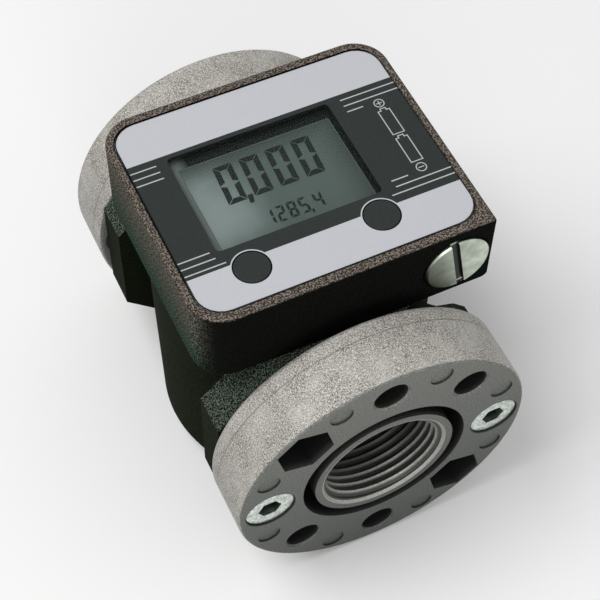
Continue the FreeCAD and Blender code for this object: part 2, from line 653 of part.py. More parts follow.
def contact_strips():
    """Elastomer strips between the glass and the circuit board."""
    x0, x1, y0, y1 = WINDOW
    strips = []
    for y in (y0 - STRIP_OFFSET, y1 + STRIP_OFFSET):
        strips.append(block(x0, x1, y - STRIP_W / 2, y + STRIP_W / 2,
                            BOARD_Z + BOARD_T, LCD_TOP_Z - LCD_T))
    return strips


def circuit_board():
    x0, x1, y0, y1 = CAVITY
    g = BOARD_GAP
    top = BOARD_Z + BOARD_T
    board = rounded_plate(x0 + g, x1 - g, y0 + g, y1 - g, BOARD_Z, top, [BOARD_CORNER_R] * 4)
    holes = [rod(BOARD_HOLE_R, BOARD_Z, top, at=V(x, y, 0)) for x, y in BOARD_POSTS]
    return board.cut(holes)


def board_screws():
    screws = []
    top = BOARD_Z + BOARD_T
    for x, y in BOARD_POSTS:
        at = V(x, y, 0)
        shank = rod(BOARD_SCREW_R, BOARD_Z - BOARD_SCREW_REACH, top, at=at)
        screws.append(shank.fuse(rod(BOARD_SCREW_HEAD_R, top, top + BOARD_SCREW_HEAD_T, at=at)))
    return screws


def tact_switches():
    """Push switches on the board, under the buttons."""
    switches = []
    low = BOARD_Z + BOARD_T
    top = low + SWITCH_CASE_T
    h = SWITCH_HALF
    for x, y in BUTTONS.values():
        case = block(x - h, x + h, y - h, y + h, low, top)
        switches.append(case.fuse(rod(SWITCH_STEM_R, top, SWITCH_TOP_Z, at=V(x, y, 0))))
    return switches


def button(x, y):
    """Button: a disc in the plate's hole, a flange that keeps it in and a stem to its switch."""
    at = V(x, y, 0)
    disc = rod(BUTTON_R, LABEL_SEAT_Z - BUTTON_GAP, LABEL_TOP_Z + BUTTON_PROUD, at=at)
    rim = [e for e in disc.Edges if isinstance(e.Curve, Part.Circle)
           and e.Curve.Center.z > LABEL_TOP_Z]
    disc = disc.makeFillet(BUTTON_EDGE_R, rim)
    keeper_top = LABEL_SEAT_Z - BUTTON_PLAY
    keeper_low = keeper_top - BUTTON_KEEPER_T
    keeper = rod(BUTTON_R + BUTTON_KEEPER, keeper_low, keeper_top, at=at)
    stem = rod(BUTTON_STEM_R, SWITCH_TOP_Z + BUTTON_TRAVEL + PANE_GAP, keeper_low, at=at)
    return disc.fuse([keeper, stem]).removeSplitter()


def pickup_sensor():
    """Sensor on the board's underside that reaches down to the turbine's magnets."""
    wider, foot_t = SENSOR_FOOT
    stem = rod(PICKUP_R, PICKUP_FLOOR_Z, BOARD_Z - foot_t)
    return stem.fuse(rod(PICKUP_R + wider, BOARD_Z - foot_t, BOARD_Z))


# ---- battery compartment ------------------------------------------------------------------
CELLS_START_Y = -31.0
POLE_R = 2.0
POLE_L = 0.8                          # the pole stands out this far before the can starts
CELL_EDGE_R = 0.5
CONTACT_PLATE_T = 0.4
CONTACT_CONE_R = (2.0, 4.6)
CONTACT_ROOM = 0.2


def cell(start_y):
    """N cell, with its raised positive pole towards the cap."""
    pole = rod(POLE_R, start_y, start_y + POLE_L + CELL_EDGE_R, Y_AXIS, BATTERY_AXIS)
    can = rod(CELL_R, start_y + POLE_L, start_y + CELL_L, Y_AXIS, BATTERY_AXIS)
    rims = [e for e in can.Edges if isinstance(e.Curve, Part.Circle)]
    return can.makeFillet(CELL_EDGE_R, rims).fuse(pole)


def battery_contact():
    """Sprung contact at the closed end of the barrel."""
    end_y = CELLS_START_Y + 2 * CELL_L
    plate_y = BARREL_END_Y - CONTACT_PLATE_T
    disc = rod(BORE_R - CONTACT_ROOM, plate_y, BARREL_END_Y, Y_AXIS, BATTERY_AXIS)
    return disc.fuse(cone(*CONTACT_CONE_R, end_y, plate_y, Y_AXIS, BATTERY_AXIS))


def battery_cap():
    """Slotted screw cap: a bevelled head over a hollow threaded skirt."""
    head = rod(CAP_R, CAP_FACE_Y, CAP_SEAT_Y, Y_AXIS, BATTERY_AXIS)
    rim = [e for e in head.Edges if isinstance(e.Curve, Part.Circle)
           and e.Curve.Center.y < CAP_FACE_Y + 0.01]
    head = head.makeChamfer(CAP_BEVEL, rim)
    skirt = rod(CAP_THREAD_R, CAP_SEAT_Y, CAP_SEAT_Y + CAP_THREAD_L, Y_AXIS, BATTERY_AXIS)
    hollow = rod(CELL_R + CAP_WALL_ROOM, CELLS_START_Y, CAP_SEAT_Y + CAP_THREAD_L, Y_AXIS,
                 BATTERY_AXIS)
    groove_y = CAP_SEAT_Y - 2 * (CAP_RING_SECTION + CAP_RING_GAP)
    ring_groove = tube(CAP_RING_R + CAP_RING_SECTION + SEAT, CAP_RING_R - CAP_RING_SECTION - SEAT,
                       groove_y, CAP_SEAT_Y, Y_AXIS, BATTERY_AXIS)
    half_w = CAP_SLOT_W / 2
    slot = block(-half_w, half_w, CAP_FACE_Y, CAP_FACE_Y + CAP_SLOT_DEPTH, -CAP_R, CAP_R)
    slot.rotate(V(0, 0, 0), Y_AXIS, CAP_SLOT_TURN)
    slot.translate(BATTERY_AXIS)
    return head.fuse(skirt).cut([hollow, ring_groove, slot])


def cap_oring():
    at = V(BATTERY_X, CAP_SEAT_Y - CAP_RING_SECTION - CAP_RING_GAP, BATTERY_Z)
    return ring(CAP_RING_R, CAP_RING_SECTION, Y_AXIS, at)


# ---- write the nodes ----------------------------------------------------------------------
def main():
    os.makedirs("parts", exist_ok=True)
    inlet_pieces = {
        "flange": [flange()],
        "flange_oring": [flange_oring()],
        "flange_screws": flange_screws(),
        "vanes": [vane_cartridge()],
        "bush": [bush()],
    }
    for name, solids in inlet_pieces.items():
        save("inlet_" + name, *solids)
        save("outlet_" + name, *[outlet_side(s) for s in solids])
    save("meter_body", meter_body())
    save("bottom_cover", bottom_cover())
    save("cover_oring", ring(INSERT_R + PLUG_ROOM - COVER_RING_SECTION, COVER_RING_SECTION,
                             at=V(0, 0, COVER_RING_Z)))
    save("cover_screws", *cover_screws())
    save("measuring_insert", measuring_insert())
    save("retaining_rings", retaining_ring(-CLIP_Y - CLIP_T), retaining_ring(CLIP_Y))
    save("turbine_rotor", turbine_rotor())
    save("rotor_shaft", rotor_shaft())
    save("rotor_magnets", *[magnet(side, 0) for side in (-1, 1)])
    save("display_housing", display_housing())
    save("deck_gasket", deck_gasket())
    save("deck_screws", *deck_screws())
    save("label_plate", label_plate())
    save("display_window", display_window())
    save("lcd_panel", lcd_panel())
    save("contact_strips", *contact_strips())
    save("circuit_board", circuit_board())
    save("board_screws", *board_screws())
    save("tact_switches", *tact_switches())
    for name, (x, y) in BUTTONS.items():
        save(name, button(x, y))
    save("pickup_sensor", pickup_sensor())
    save("front_battery", cell(CELLS_START_Y))
    save("rear_battery", cell(CELLS_START_Y + CELL_L))
    save("battery_contact", battery_contact())
    save("battery_cap", battery_cap())
    save("cap_oring", cap_oring())


main()
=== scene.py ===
# %% [markdown]
# # An in-line turbine flow meter
# The meter is a black painted drum between two bare aluminium flanges, with a display head on
# top. The CAD model already holds every solid piece at its real size. This notebook dresses it:
# it gives each piece the finish of its real material, prints the front plate, and cuts a thread
# into each port. Millimetres are used for sizes, and MM turns them to Blender's metres.

# %% Load the frame
import math

import bpy
from mathutils import Euler, Matrix, Vector


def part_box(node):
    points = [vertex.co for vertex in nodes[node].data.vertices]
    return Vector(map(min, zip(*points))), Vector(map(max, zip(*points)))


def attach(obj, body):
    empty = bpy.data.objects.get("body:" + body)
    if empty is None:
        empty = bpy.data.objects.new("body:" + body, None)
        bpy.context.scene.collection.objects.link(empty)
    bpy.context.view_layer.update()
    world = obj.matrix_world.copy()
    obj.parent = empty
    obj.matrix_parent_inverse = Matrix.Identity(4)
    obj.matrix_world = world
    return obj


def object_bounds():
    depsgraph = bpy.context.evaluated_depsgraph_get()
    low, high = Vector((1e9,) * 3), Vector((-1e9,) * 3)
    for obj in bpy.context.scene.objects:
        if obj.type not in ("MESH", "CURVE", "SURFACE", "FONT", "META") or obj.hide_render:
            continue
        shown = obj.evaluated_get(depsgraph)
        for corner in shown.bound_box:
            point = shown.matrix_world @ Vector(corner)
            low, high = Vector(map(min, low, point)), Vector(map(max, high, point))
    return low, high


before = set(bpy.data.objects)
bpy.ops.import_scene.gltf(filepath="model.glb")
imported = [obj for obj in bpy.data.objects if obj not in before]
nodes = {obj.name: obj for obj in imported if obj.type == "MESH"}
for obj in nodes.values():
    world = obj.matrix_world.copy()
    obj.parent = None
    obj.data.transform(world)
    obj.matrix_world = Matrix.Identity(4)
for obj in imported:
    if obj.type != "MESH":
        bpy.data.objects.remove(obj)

MM = 0.001
cad_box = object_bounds()
print(len(nodes), "CAD nodes, box in mm:", [[round(v / MM, 1) for v in c] for c in cad_box])

# %% [markdown]
# ## Two helpers
# Colours are written as the sRGB hex codes that a paint chart or an image editor shows. Blender
# mixes light in linear values, so one function turns the one into the other. A second function
# adds a node with what feeds it and its settings, which keeps every material below short.

# %% Helpers for colours and nodes
def linear(code):
    """Linear colour of an sRGB hex code."""
    values = []
    for i in (0, 2, 4):
        c = int(code[i:i + 2], 16) / 255
        values.append(c / 12.92 if c <= 0.04045 else ((c + 0.055) / 1.055) ** 2.4)
    return (*values, 1.0)


def add(tree, kind, inputs=None, **settings):
    """Add a node. An input is a value, a socket, or a node whose first output feeds it."""
    node = tree.nodes.new(kind)
    for name, value in settings.items():
        setattr(node, name, value)
    for key, value in (inputs or {}).items():
        if isinstance(value, bpy.types.Node):
            value = value.outputs[0]
        if isinstance(value, bpy.types.NodeSocket):
            tree.links.new(value, node.inputs[key])
        else:
            node.inputs[key].default_value = value
    return node


print("linear 808080 is", round(linear("808080")[0], 3))

# %% [markdown]
# ## Where things are
# The frame tells where each piece is, so nothing is placed by eye. The front plate's corners give
# the middle of the printed face and its height. The flange gives the flow axis.

# %% Places read from the frame
plate_low, plate_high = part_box("label_plate")
head_low, head_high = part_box("display_housing")
lcd_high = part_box("lcd_panel")[1]
inlet_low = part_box("inlet_flange")[0]
outlet_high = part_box("outlet_flange")[1]
FACE_X = (plate_low.x + plate_high.x) / 2 / MM
FACE_Y = (plate_low.y + plate_high.y) / 2 / MM
PLATE_Z = plate_high.z / MM
LCD_Z = lcd_high.z / MM
PLATE_W = (plate_high.x - plate_low.x) / MM
print("front plate", round(PLATE_W, 1), "mm wide, middle at y", round(FACE_Y, 1), "top", round(PLATE_Z, 1))

# %% [markdown]
# ## Camera
# The meter is seen from above and a little from its left, along the flow. The camera is turned
# about three axes: its compass direction, its height above the horizon, and a slight roll.

# %% Camera
CAMERA_AT = Vector((-104.6, -159.5, 345.4))     # mm
AZIMUTH, ELEVATION, ROLL = -26.57, 55.38, 1.36  # degrees
SENSOR, LENS = 36.0, 93.53                      # mm

camera = bpy.data.objects.new("camera", bpy.data.cameras.new("camera"))
bpy.context.scene.collection.objects.link(camera)
camera.data.sensor_width = SENSOR
camera.data.lens = LENS
camera.location = CAMERA_AT * MM
look = Euler((math.radians(90 - ELEVATION), 0, math.radians(AZIMUTH))).to_matrix()
look = look @ Matrix.Rotation(math.radians(ROLL), 3, "Z")
camera.rotation_euler = look.to_euler()
bpy.context.scene.camera = camera
print("camera", round(CAMERA_AT.length), "mm from the inlet's centre")

# %% [markdown]
# ## Lamps
# A large soft lamp stands above, to the left and a little behind, as a window would. A weak one in
# front fills the flange's face. A large lamp makes soft shadows and broad highlights, which show
# the form of cast and painted metal better than a small hard one.

# %% Lamps
KEY_LAMP = (Vector((-620, 120, 1150)), 800, 9.0)     # place from the meter in mm, side in mm, watts
FILL_LAMP = (Vector((-350, -950, 400)), 500, 2.4)
middle = (cad_box[0] + cad_box[1]) / 2


def softbox(name, place, side, watts):
    """Square lamp that stands at a place from the meter's middle and points at it."""
    lamp = bpy.data.objects.new(name, bpy.data.lights.new(name, "AREA"))
    bpy.context.scene.collection.objects.link(lamp)
    lamp.data.size = side * MM
    lamp.data.energy = watts
    lamp.location = middle + place * MM
    lamp.rotation_euler = (-place).to_track_quat("-Z", "Y").to_euler()
    print(name, "of", watts, "watts,", round(place.length), "mm away")


softbox("key_lamp", *KEY_LAMP)
softbox("fill_lamp", *FILL_LAMP)

# %% [markdown]
# ## Surround and floor
# A dim surround fills what the lamps leave. All together they give about one on a surface that
# faces up, so a colour renders about as it is written. Surround and floor are white to the eye
# and in reflections, but send less light to the meter than that, so its black walls stay black.

# %% Surround and floor
SURROUND = 0.48          # strength that lights the meter
FLOOR_SIDE = 4000        # mm
FLOOR_GAP = 0.1          # mm of air under the meter, so that the floor never cuts into it
FLOOR_LIT = "4c4e4e"     # tone of the floor as a source of light
FLOOR_SEEN = "ffffff"


def seen(tree):
    """One for a ray from the eye, straight or by way of metal or glass, and zero for the rest."""
    path = add(tree, "ShaderNodeLightPath").outputs
    either = add(tree, "ShaderNodeMath", {0: path["Is Camera Ray"], 1: path["Is Glossy Ray"]}, operation="MAXIMUM")
    return add(tree, "ShaderNodeMath", {0: either, 1: path["Is Transmission Ray"]}, operation="MAXIMUM")


world = bpy.data.worlds.new("studio")
bpy.context.scene.world = world
world.use_nodes = True
tree = world.node_tree
tree.nodes.clear()
level = add(tree, "ShaderNodeMapRange", {"Value": seen(tree), "To Min": SURROUND, "To Max": 1.0})
sky = add(tree, "ShaderNodeBackground", {"Color": (1, 1, 1, 1), "Strength": level})
add(tree, "ShaderNodeOutputWorld", {"Surface": sky})

half = FLOOR_SIDE / 2 * MM
floor_z = cad_box[0].z - FLOOR_GAP * MM
floor_mesh = bpy.data.meshes.new("floor")
corners = [(-half, -half, floor_z), (half, -half, floor_z), (half, half, floor_z), (-half, half, floor_z)]
floor_mesh.from_pydata(corners, [], [(0, 1, 2, 3)])
floor = bpy.data.objects.new("floor", floor_mesh)
bpy.context.scene.collection.objects.link(floor)

paper = bpy.data.materials.new("studio paper")
paper.use_nodes = True
tree = paper.node_tree
tree.nodes.clear()
tone = add(tree, "ShaderNodeMix", {0: seen(tree), 6: linear(FLOOR_LIT), 7: linear(FLOOR_SEEN)}, data_type="RGBA")
matt = add(tree, "ShaderNodeBsdfDiffuse", {"Color": tone.outputs[2]})
add(tree, "ShaderNodeOutputMaterial", {"Surface": matt})
floor.data.materials.append(paper)
bpy.context.scene.view_settings.view_transform = "Standard"
print("floor at", round(floor_z / MM, 1), "mm")

# %% [markdown]
# ## A finish with grain
# Nearly every surface here has a grain: blasted metal, textured paint, moulded plastic. One
# function builds it. A noise of a size in millimetres mixes two tones of the material, and the
# same noise raises the surface a little, so that light catches on it. Where the real grain is too
# fine to show, as on film, ink and moulded plastic, it is drawn as coarse as it needs to show. The
# index of refraction stays at Blender's 1.5, which is typical for paint, film, rubber and plastic.

# %% The grained finish
GRAIN_DETAIL = 3.0       # finer octaves of noise within a grain


def grained(name, dark, light, grain_mm, depth_mm, roughness, metallic=0.0, specular=0.5, spread=0.15):
    """Material with two-toned grain of a size and relief in mm, and its tree, shader, mix and noise."""
    material = bpy.data.materials.new(name)
    material.use_nodes = True
    tree = material.node_tree
    shader = tree.nodes["Principled BSDF"]
    shader.inputs["Metallic"].default_value = metallic
    shader.inputs["Roughness"].default_value = roughness
    shader.inputs["Specular IOR Level"].default_value = specular
    place = add(tree, "ShaderNodeTexCoord").outputs["Object"]
    noise = add(tree, "ShaderNodeTexNoise", {"Vector": place, "Scale": 1 / (grain_mm * MM),
                                             "Detail": GRAIN_DETAIL})
    share = add(tree, "ShaderNodeMapRange", {"Value": noise, "From Min": 0.5 - spread, "From Max": 0.5 + spread})
    mix = add(tree, "ShaderNodeMix", {0: share, 6: linear(dark), 7: linear(light)}, data_type="RGBA")
    bump = add(tree, "ShaderNodeBump", {"Height": noise, "Distance": depth_mm * MM, "Strength": 1.0})
    tree.links.new(mix.outputs[2], shader.inputs["Base Color"])
    tree.links.new(bump.outputs[0], shader.inputs["Normal"])
    return material, tree, shader, mix, noise


def dress(material, *names):
    """Give CAD nodes their finish."""
    for name in names:
        mesh = nodes[name].data
        mesh.materials.clear()
        mesh.materials.append(material)
    print(material.name, "on", ", ".join(names))


print("a grain of 0.4 mm is a noise of scale", round(1 / (0.4 * MM)), "in metres")

# %% [markdown]
# ## Black textured paint
# The meter is die-cast under a coarse black powder paint, whose grain is about half a millimetre
# across. To the eye it is matt and nearly black. Where a surface faces up and a little left,
# painted light greys it to a brown-grey pepper, most of all on the head's rim. The drum has the
# same paint, smoother and more olive, and only its bevels get that painted light, in grey.

# %% Textured powder paint
PAINTED_LIGHT_FROM = (-0.28, 0.10, 0.955)       # the direction that the painted light comes from: above, a little left
PAINTED_LIGHT_SPAN = (0.35, 0.85)               # from no painted light to full, as a surface turns that way
CREST_SPAN = (0.46, 0.60)                # of the noise: hollows of the grain below, crests above
PAINT_RELIEF = 0.10                      # mm
PAINT_ROUGHNESS = 0.8
PAINT_GLOSS = 0.02                       # low, or the walls haze over where they are seen edge on


def paint_lit_from_above(name, dark, light, lit_hollows, crest, grain_mm):
    """Black grained paint, greyed by painted light where it faces up. Returns it with what a caller may add to."""
    paint, tree, shader, walls, noise = grained(
        name, dark, light, grain_mm, PAINT_RELIEF, PAINT_ROUGHNESS, specular=PAINT_GLOSS)
    normal = add(tree, "ShaderNodeNewGeometry").outputs["True Normal"]
    speck = add(tree, "ShaderNodeMapRange", {"Value": noise, "From Min": CREST_SPAN[0], "From Max": CREST_SPAN[1]})
    # painted light: surfaces that face up and a little left are greyed
    toward = add(tree, "ShaderNodeVectorMath", {0: normal, 1: PAINTED_LIGHT_FROM}, operation="DOT_PRODUCT")
    share = add(tree, "ShaderNodeMapRange", {"Value": toward.outputs["Value"], "From Min": PAINTED_LIGHT_SPAN[0],
                                             "From Max": PAINTED_LIGHT_SPAN[1]}, interpolation_type="SMOOTHSTEP")
    greyed = add(tree, "ShaderNodeMix", {0: speck, 6: linear(lit_hollows), 7: linear(crest)}, data_type="RGBA")
    tone = add(tree, "ShaderNodeMix", {0: share, 6: walls.outputs[2], 7: greyed.outputs[2]}, data_type="RGBA")
    tree.links.new(tone.outputs[2], shader.inputs["Base Color"])
    return paint, tree, shader, tone, speck


# the drum's bevels get the painted light in grey
drum_paint, *_ = paint_lit_from_above("olive powder paint", "0a0c08", "272c1f", "0b100b", "667065", 0.38)
dress(drum_paint, "meter_body", "bottom_cover")

# %% [markdown]
# ## Paint of the head
# The head's side and back walls get painted light as well: grey towards the rim, fading to a
# green-black downwards as painted shade. Only the front wall keeps its full black, as painted shade.
# Two ramps make that: how far a surface faces to the front, and how high it lies.

# %% Paint of the head
SHADED_WALL_FOOT = ("0b1711", "42604f")          # hollows and crests of the grain at the foot of a wall, in painted shade
LIT_WALL_TOP = ("292620", "948e83")         # the same under the rim, in painted light
FRONT_SPAN = (-0.85, -0.25)              # of the normal's Y: the front wall below, walls with painted light above
head_paint, tree, shader, tone, speck = paint_lit_from_above(
    "textured powder paint", "080908", "1a1c19", "38312c", "8a8178", 0.42)
normal = add(tree, "ShaderNodeSeparateXYZ", {0: add(tree, "ShaderNodeNewGeometry").outputs["True Normal"]}).outputs
height = add(tree, "ShaderNodeSeparateXYZ", {0: add(tree, "ShaderNodeTexCoord").outputs["Object"]}).outputs["Z"]
# painted light on the walls: more near the rim, less at the foot
up_wall = add(tree, "ShaderNodeMapRange", {"Value": height, "From Min": head_low.z, "From Max": head_high.z})
# every wall but the front one gets painted light; the front wall stays black as painted shade
lit_walls = add(tree, "ShaderNodeMapRange", {"Value": normal["Y"], "From Min": FRONT_SPAN[0],
                                           "From Max": FRONT_SPAN[1]}, interpolation_type="SMOOTHSTEP")
upright = add(tree, "ShaderNodeMath", {0: normal["Z"]}, operation="ABSOLUTE")
upright = add(tree, "ShaderNodeMath", {0: 1.0, 1: upright}, operation="SUBTRACT")
lit_walls = add(tree, "ShaderNodeMath", {0: lit_walls, 1: upright}, operation="MULTIPLY")
low_tone = add(tree, "ShaderNodeMix", {0: speck, 6: linear(SHADED_WALL_FOOT[0]), 7: linear(SHADED_WALL_FOOT[1])},
               data_type="RGBA")
high_tone = add(tree, "ShaderNodeMix", {0: speck, 6: linear(LIT_WALL_TOP[0]), 7: linear(LIT_WALL_TOP[1])},
                data_type="RGBA")
wall_tone = add(tree, "ShaderNodeMix", {0: up_wall, 6: low_tone.outputs[2], 7: high_tone.outputs[2]},
                data_type="RGBA")
whole = add(tree, "ShaderNodeMix", {0: lit_walls, 6: tone.outputs[2], 7: wall_tone.outputs[2]}, data_type="RGBA")
tree.links.new(whole.outputs[2], shader.inputs["Base Color"])
dress(head_paint, "display_housing")

# %% [markdown]
# ## Places on a flange
# The finish of a flange depends on where one looks: the rim is blasted, the face is smooth, and
# holes are painted black with depth as shade. Two distances tell these apart: how deep a point lies
# behind the nearest flange face, and how far it is from the flow axis. Both come from the point's
# own place, so they serve the two flanges alike.

# %% Depth and radius
middle_y = (inlet_low.y + outlet_high.y) / 2
half_length = (outlet_high.y - inlet_low.y) / 2


def flange_places(tree):
    """Depth behind the nearest face, and distance from the flow axis, both in mm."""
    place = add(tree, "ShaderNodeTexCoord").outputs["Object"]
    xyz = add(tree, "ShaderNodeSeparateXYZ", {0: place}).outputs
    along = add(tree, "ShaderNodeMath", {0: xyz["Y"], 1: middle_y}, operation="SUBTRACT")
    along = add(tree, "ShaderNodeMath", {0: along}, operation="ABSOLUTE")
    depth = add(tree, "ShaderNodeMath", {0: half_length, 1: along}, operation="SUBTRACT")
    across = add(tree, "ShaderNodeCombineXYZ", {0: xyz["X"], 2: xyz["Z"]})
    radius = add(tree, "ShaderNodeVectorMath", {0: across}, operation="LENGTH")
    depth = add(tree, "ShaderNodeMath", {0: depth, 1: MM}, operation="DIVIDE")
    radius = add(tree, "ShaderNodeMath", {0: radius.outputs["Value"], 1: MM}, operation="DIVIDE")
    return depth, radius


print("the flange faces are", round(2 * half_length / MM, 1), "mm apart")

# %% [markdown]
# ## Blasted cast aluminium
# The flanges are bare die castings, blasted with fine grit. Grit leaves a bright, even grain, finer
# than it is drawn here, since it would blur away at its true size, and the grain's highest points
# are painted near white as glints. Cloudy patches a few millimetres across show where the blast
# passed twice. A faint line runs round the rim where the two halves of the mould met.

# %% Rim of a flange
CAST_GRAIN = 0.28                        # mm
CAST_RELIEF = 0.05                       # mm
GLINT_SPAN = (0.63, 0.70)                # of the noise: only its highest points get a painted glint
GLINT_SHARE = 0.8
PATCH_SIZE = 7                           # mm
PATCH_SPAN = (0.4, 0.7)
PATCH_SHARE = 0.35
PARTING_DEPTH = 12.9                     # mm behind the face
PARTING_SPAN = (0.08, 0.25)              # mm from the line's middle to its edge
PARTING_SHARE = 0.55

cast, tree, shader, rim_tone, noise = grained("blasted die-cast aluminium", "65625c", "ccc8c1", CAST_GRAIN,
                                              CAST_RELIEF, 0.6, metallic=0.25, spread=0.105)
depth, radius = flange_places(tree)
# painted glints: the grain's highest points turn near white
glint = add(tree, "ShaderNodeMapRange", {"Value": noise, "From Min": GLINT_SPAN[0], "From Max": GLINT_SPAN[1],
                                         "To Max": GLINT_SHARE})
rim = add(tree, "ShaderNodeMix", {0: glint, 6: rim_tone.outputs[2], 7: linear("f4f1ea")}, data_type="RGBA")
place = add(tree, "ShaderNodeTexCoord").outputs["Object"]
patch = add(tree, "ShaderNodeTexNoise", {"Vector": place, "Scale": 1 / (PATCH_SIZE * MM), "Detail": 2.0})
patch = add(tree, "ShaderNodeMapRange", {"Value": patch, "From Min": PATCH_SPAN[0], "From Max": PATCH_SPAN[1],
                                         "To Max": PATCH_SHARE})
rim = add(tree, "ShaderNodeMix", {0: patch, 6: rim.outputs[2], 7: linear("d4d1ca")}, data_type="RGBA")
off_line = add(tree, "ShaderNodeMath", {0: depth, 1: PARTING_DEPTH}, operation="SUBTRACT")
off_line = add(tree, "ShaderNodeMath", {0: off_line}, operation="ABSOLUTE")
line = add(tree, "ShaderNodeMapRange", {"Value": off_line, "From Min": PARTING_SPAN[0],
                                        "From Max": PARTING_SPAN[1], "To Min": PARTING_SHARE, "To Max": 0.0})
rim = add(tree, "ShaderNodeMix", {0: line, 6: rim.outputs[2], 7: linear("55534e")}, data_type="RGBA")
print("grain", CAST_GRAIN, "mm, patches", PATCH_SIZE, "mm, parting line", PARTING_DEPTH, "mm behind the face")

# %% [markdown]
# ## Face and mouth of the port
# The face was pressed against the flat of the mould and hardly blasted, so it is smoother and
# darker than the rim, and it grows darker still towards the bottom. It is told from the rim by the
# way it points and by its radius. Only the mouth of the port is turned bright.

# %% Face of a flange
RIM_R = 39.6                             # mm; what lies further out is rim
PORT_LIP_R = 17.4                        # mm; what lies further in is the port
FACING_SPAN = (0.85, 0.98)               # of the normal's Y: a slanting wall below, the flat face above
FACE_CREST_SPAN = (0.40, 0.64)           # of the noise
LOW_FACE = ("3e433f", "666b66")          # hollows and crests of the grain, at the bottom
HIGH_FACE = ("656762", "a5a6a0")         # the same, at the top
LIP = ("a3a39c", "c9c9c2")

normal = add(tree, "ShaderNodeSeparateXYZ", {0: add(tree, "ShaderNodeNewGeometry").outputs["True Normal"]})
flat = add(tree, "ShaderNodeMath", {0: normal.outputs["Y"]}, operation="ABSOLUTE")
on_face = add(tree, "ShaderNodeMapRange", {"Value": flat, "From Min": FACING_SPAN[0], "From Max": FACING_SPAN[1]})
inside = add(tree, "ShaderNodeMath", {0: radius, 1: RIM_R}, operation="LESS_THAN")
on_face = add(tree, "ShaderNodeMath", {0: on_face, 1: inside}, operation="MAXIMUM")
speck = add(tree, "ShaderNodeMapRange", {"Value": noise, "From Min": FACE_CREST_SPAN[0],
                                         "From Max": FACE_CREST_SPAN[1]})
# the face is drawn darker towards the bottom
height = add(tree, "ShaderNodeSeparateXYZ", {0: place}).outputs["Z"]
upper = add(tree, "ShaderNodeMapRange", {"Value": height, "From Min": -RIM_R * MM, "From Max": RIM_R * MM})
low_tone = add(tree, "ShaderNodeMix", {0: speck, 6: linear(LOW_FACE[0]), 7: linear(LOW_FACE[1])},
               data_type="RGBA")
high_tone = add(tree, "ShaderNodeMix", {0: speck, 6: linear(HIGH_FACE[0]), 7: linear(HIGH_FACE[1])},
                data_type="RGBA")
face = add(tree, "ShaderNodeMix", {0: upper, 6: low_tone.outputs[2], 7: high_tone.outputs[2]}, data_type="RGBA")
whole = add(tree, "ShaderNodeMix", {0: on_face, 6: rim.outputs[2], 7: face.outputs[2]}, data_type="RGBA")
outside = add(tree, "ShaderNodeMath", {0: radius, 1: PORT_LIP_R}, operation="GREATER_THAN")
bright = add(tree, "ShaderNodeMix", {0: speck, 6: linear(LIP[0]), 7: linear(LIP[1])}, data_type="RGBA")
whole = add(tree, "ShaderNodeMix", {0: outside, 6: bright.outputs[2], 7: whole.outputs[2]}, data_type="RGBA")
print("the face reaches from", PORT_LIP_R, "to", RIM_R, "mm from the axis")

# %% [markdown]
# ## Painted shade in the flanges
# Little light reaches into a hole, so the walls of holes, pockets and pin marks are painted nearly
# black as shade, and so is all that lies deep. Painted shade also lines the gap round each screw's
# head. The back of a flange is left bare, since nothing shades it there.

# %% Painted shade and depth
BACK_DEPTH = 17.0                        # mm; from here on it is the back of the flange
# colour of the painted shade in holes, pockets and gaps
RECESS_SHADE_TONE = "040504"
GAP_SPAN = (0.25, 0.6)                   # mm outside the screw's head
GAP_SHARE = 0.95
WALL_SPAN = (0.65, 0.2)                  # of the normal's Y: from a bevel to a wall along the flow
WALL_SHARE = 0.97
WALL_DEPTHS = (0.2, 1.8)                 # mm; a wall starts a little paler at the face
WALL_AT_FACE = 0.72
FLOOR_DEPTHS = (0.7, 3.0)                # mm; a floor turns dark between these
FLOOR_SHARE = 0.98

SCREW_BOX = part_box("inlet_flange_screws")
HEAD_R = (SCREW_BOX[1].z - SCREW_BOX[0].z) / 2 / MM
SCREW_X = SCREW_BOX[1].x - HEAD_R * MM
xyz = add(tree, "ShaderNodeSeparateXYZ", {0: place}).outputs
beside = add(tree, "ShaderNodeMath", {0: xyz["X"]}, operation="ABSOLUTE")
beside = add(tree, "ShaderNodeMath", {0: beside, 1: SCREW_X}, operation="SUBTRACT")
beside = add(tree, "ShaderNodeCombineXYZ", {0: beside, 1: xyz["Z"]})
beside = add(tree, "ShaderNodeVectorMath", {0: beside}, operation="LENGTH")
# painted shade in the gap round each screw's head
recess_shade = add(tree, "ShaderNodeMapRange", {"Value": beside.outputs["Value"], "From Min": (HEAD_R + GAP_SPAN[0]) * MM,
                                        "From Max": (HEAD_R + GAP_SPAN[1]) * MM, "To Min": GAP_SHARE,
                                        "To Max": 0.0})
# painted shade on the walls of holes, pockets and pin marks
wall = add(tree, "ShaderNodeMapRange", {"Value": flat, "From Min": WALL_SPAN[0], "From Max": WALL_SPAN[1],
                                        "To Max": WALL_SHARE})
wall = add(tree, "ShaderNodeMath", {0: wall, 1: outside}, operation="MULTIPLY")
near = add(tree, "ShaderNodeMapRange", {"Value": depth, "From Min": WALL_DEPTHS[0], "From Max": WALL_DEPTHS[1],
                                        "To Min": WALL_AT_FACE})
wall = add(tree, "ShaderNodeMath", {0: wall, 1: near}, operation="MULTIPLY")
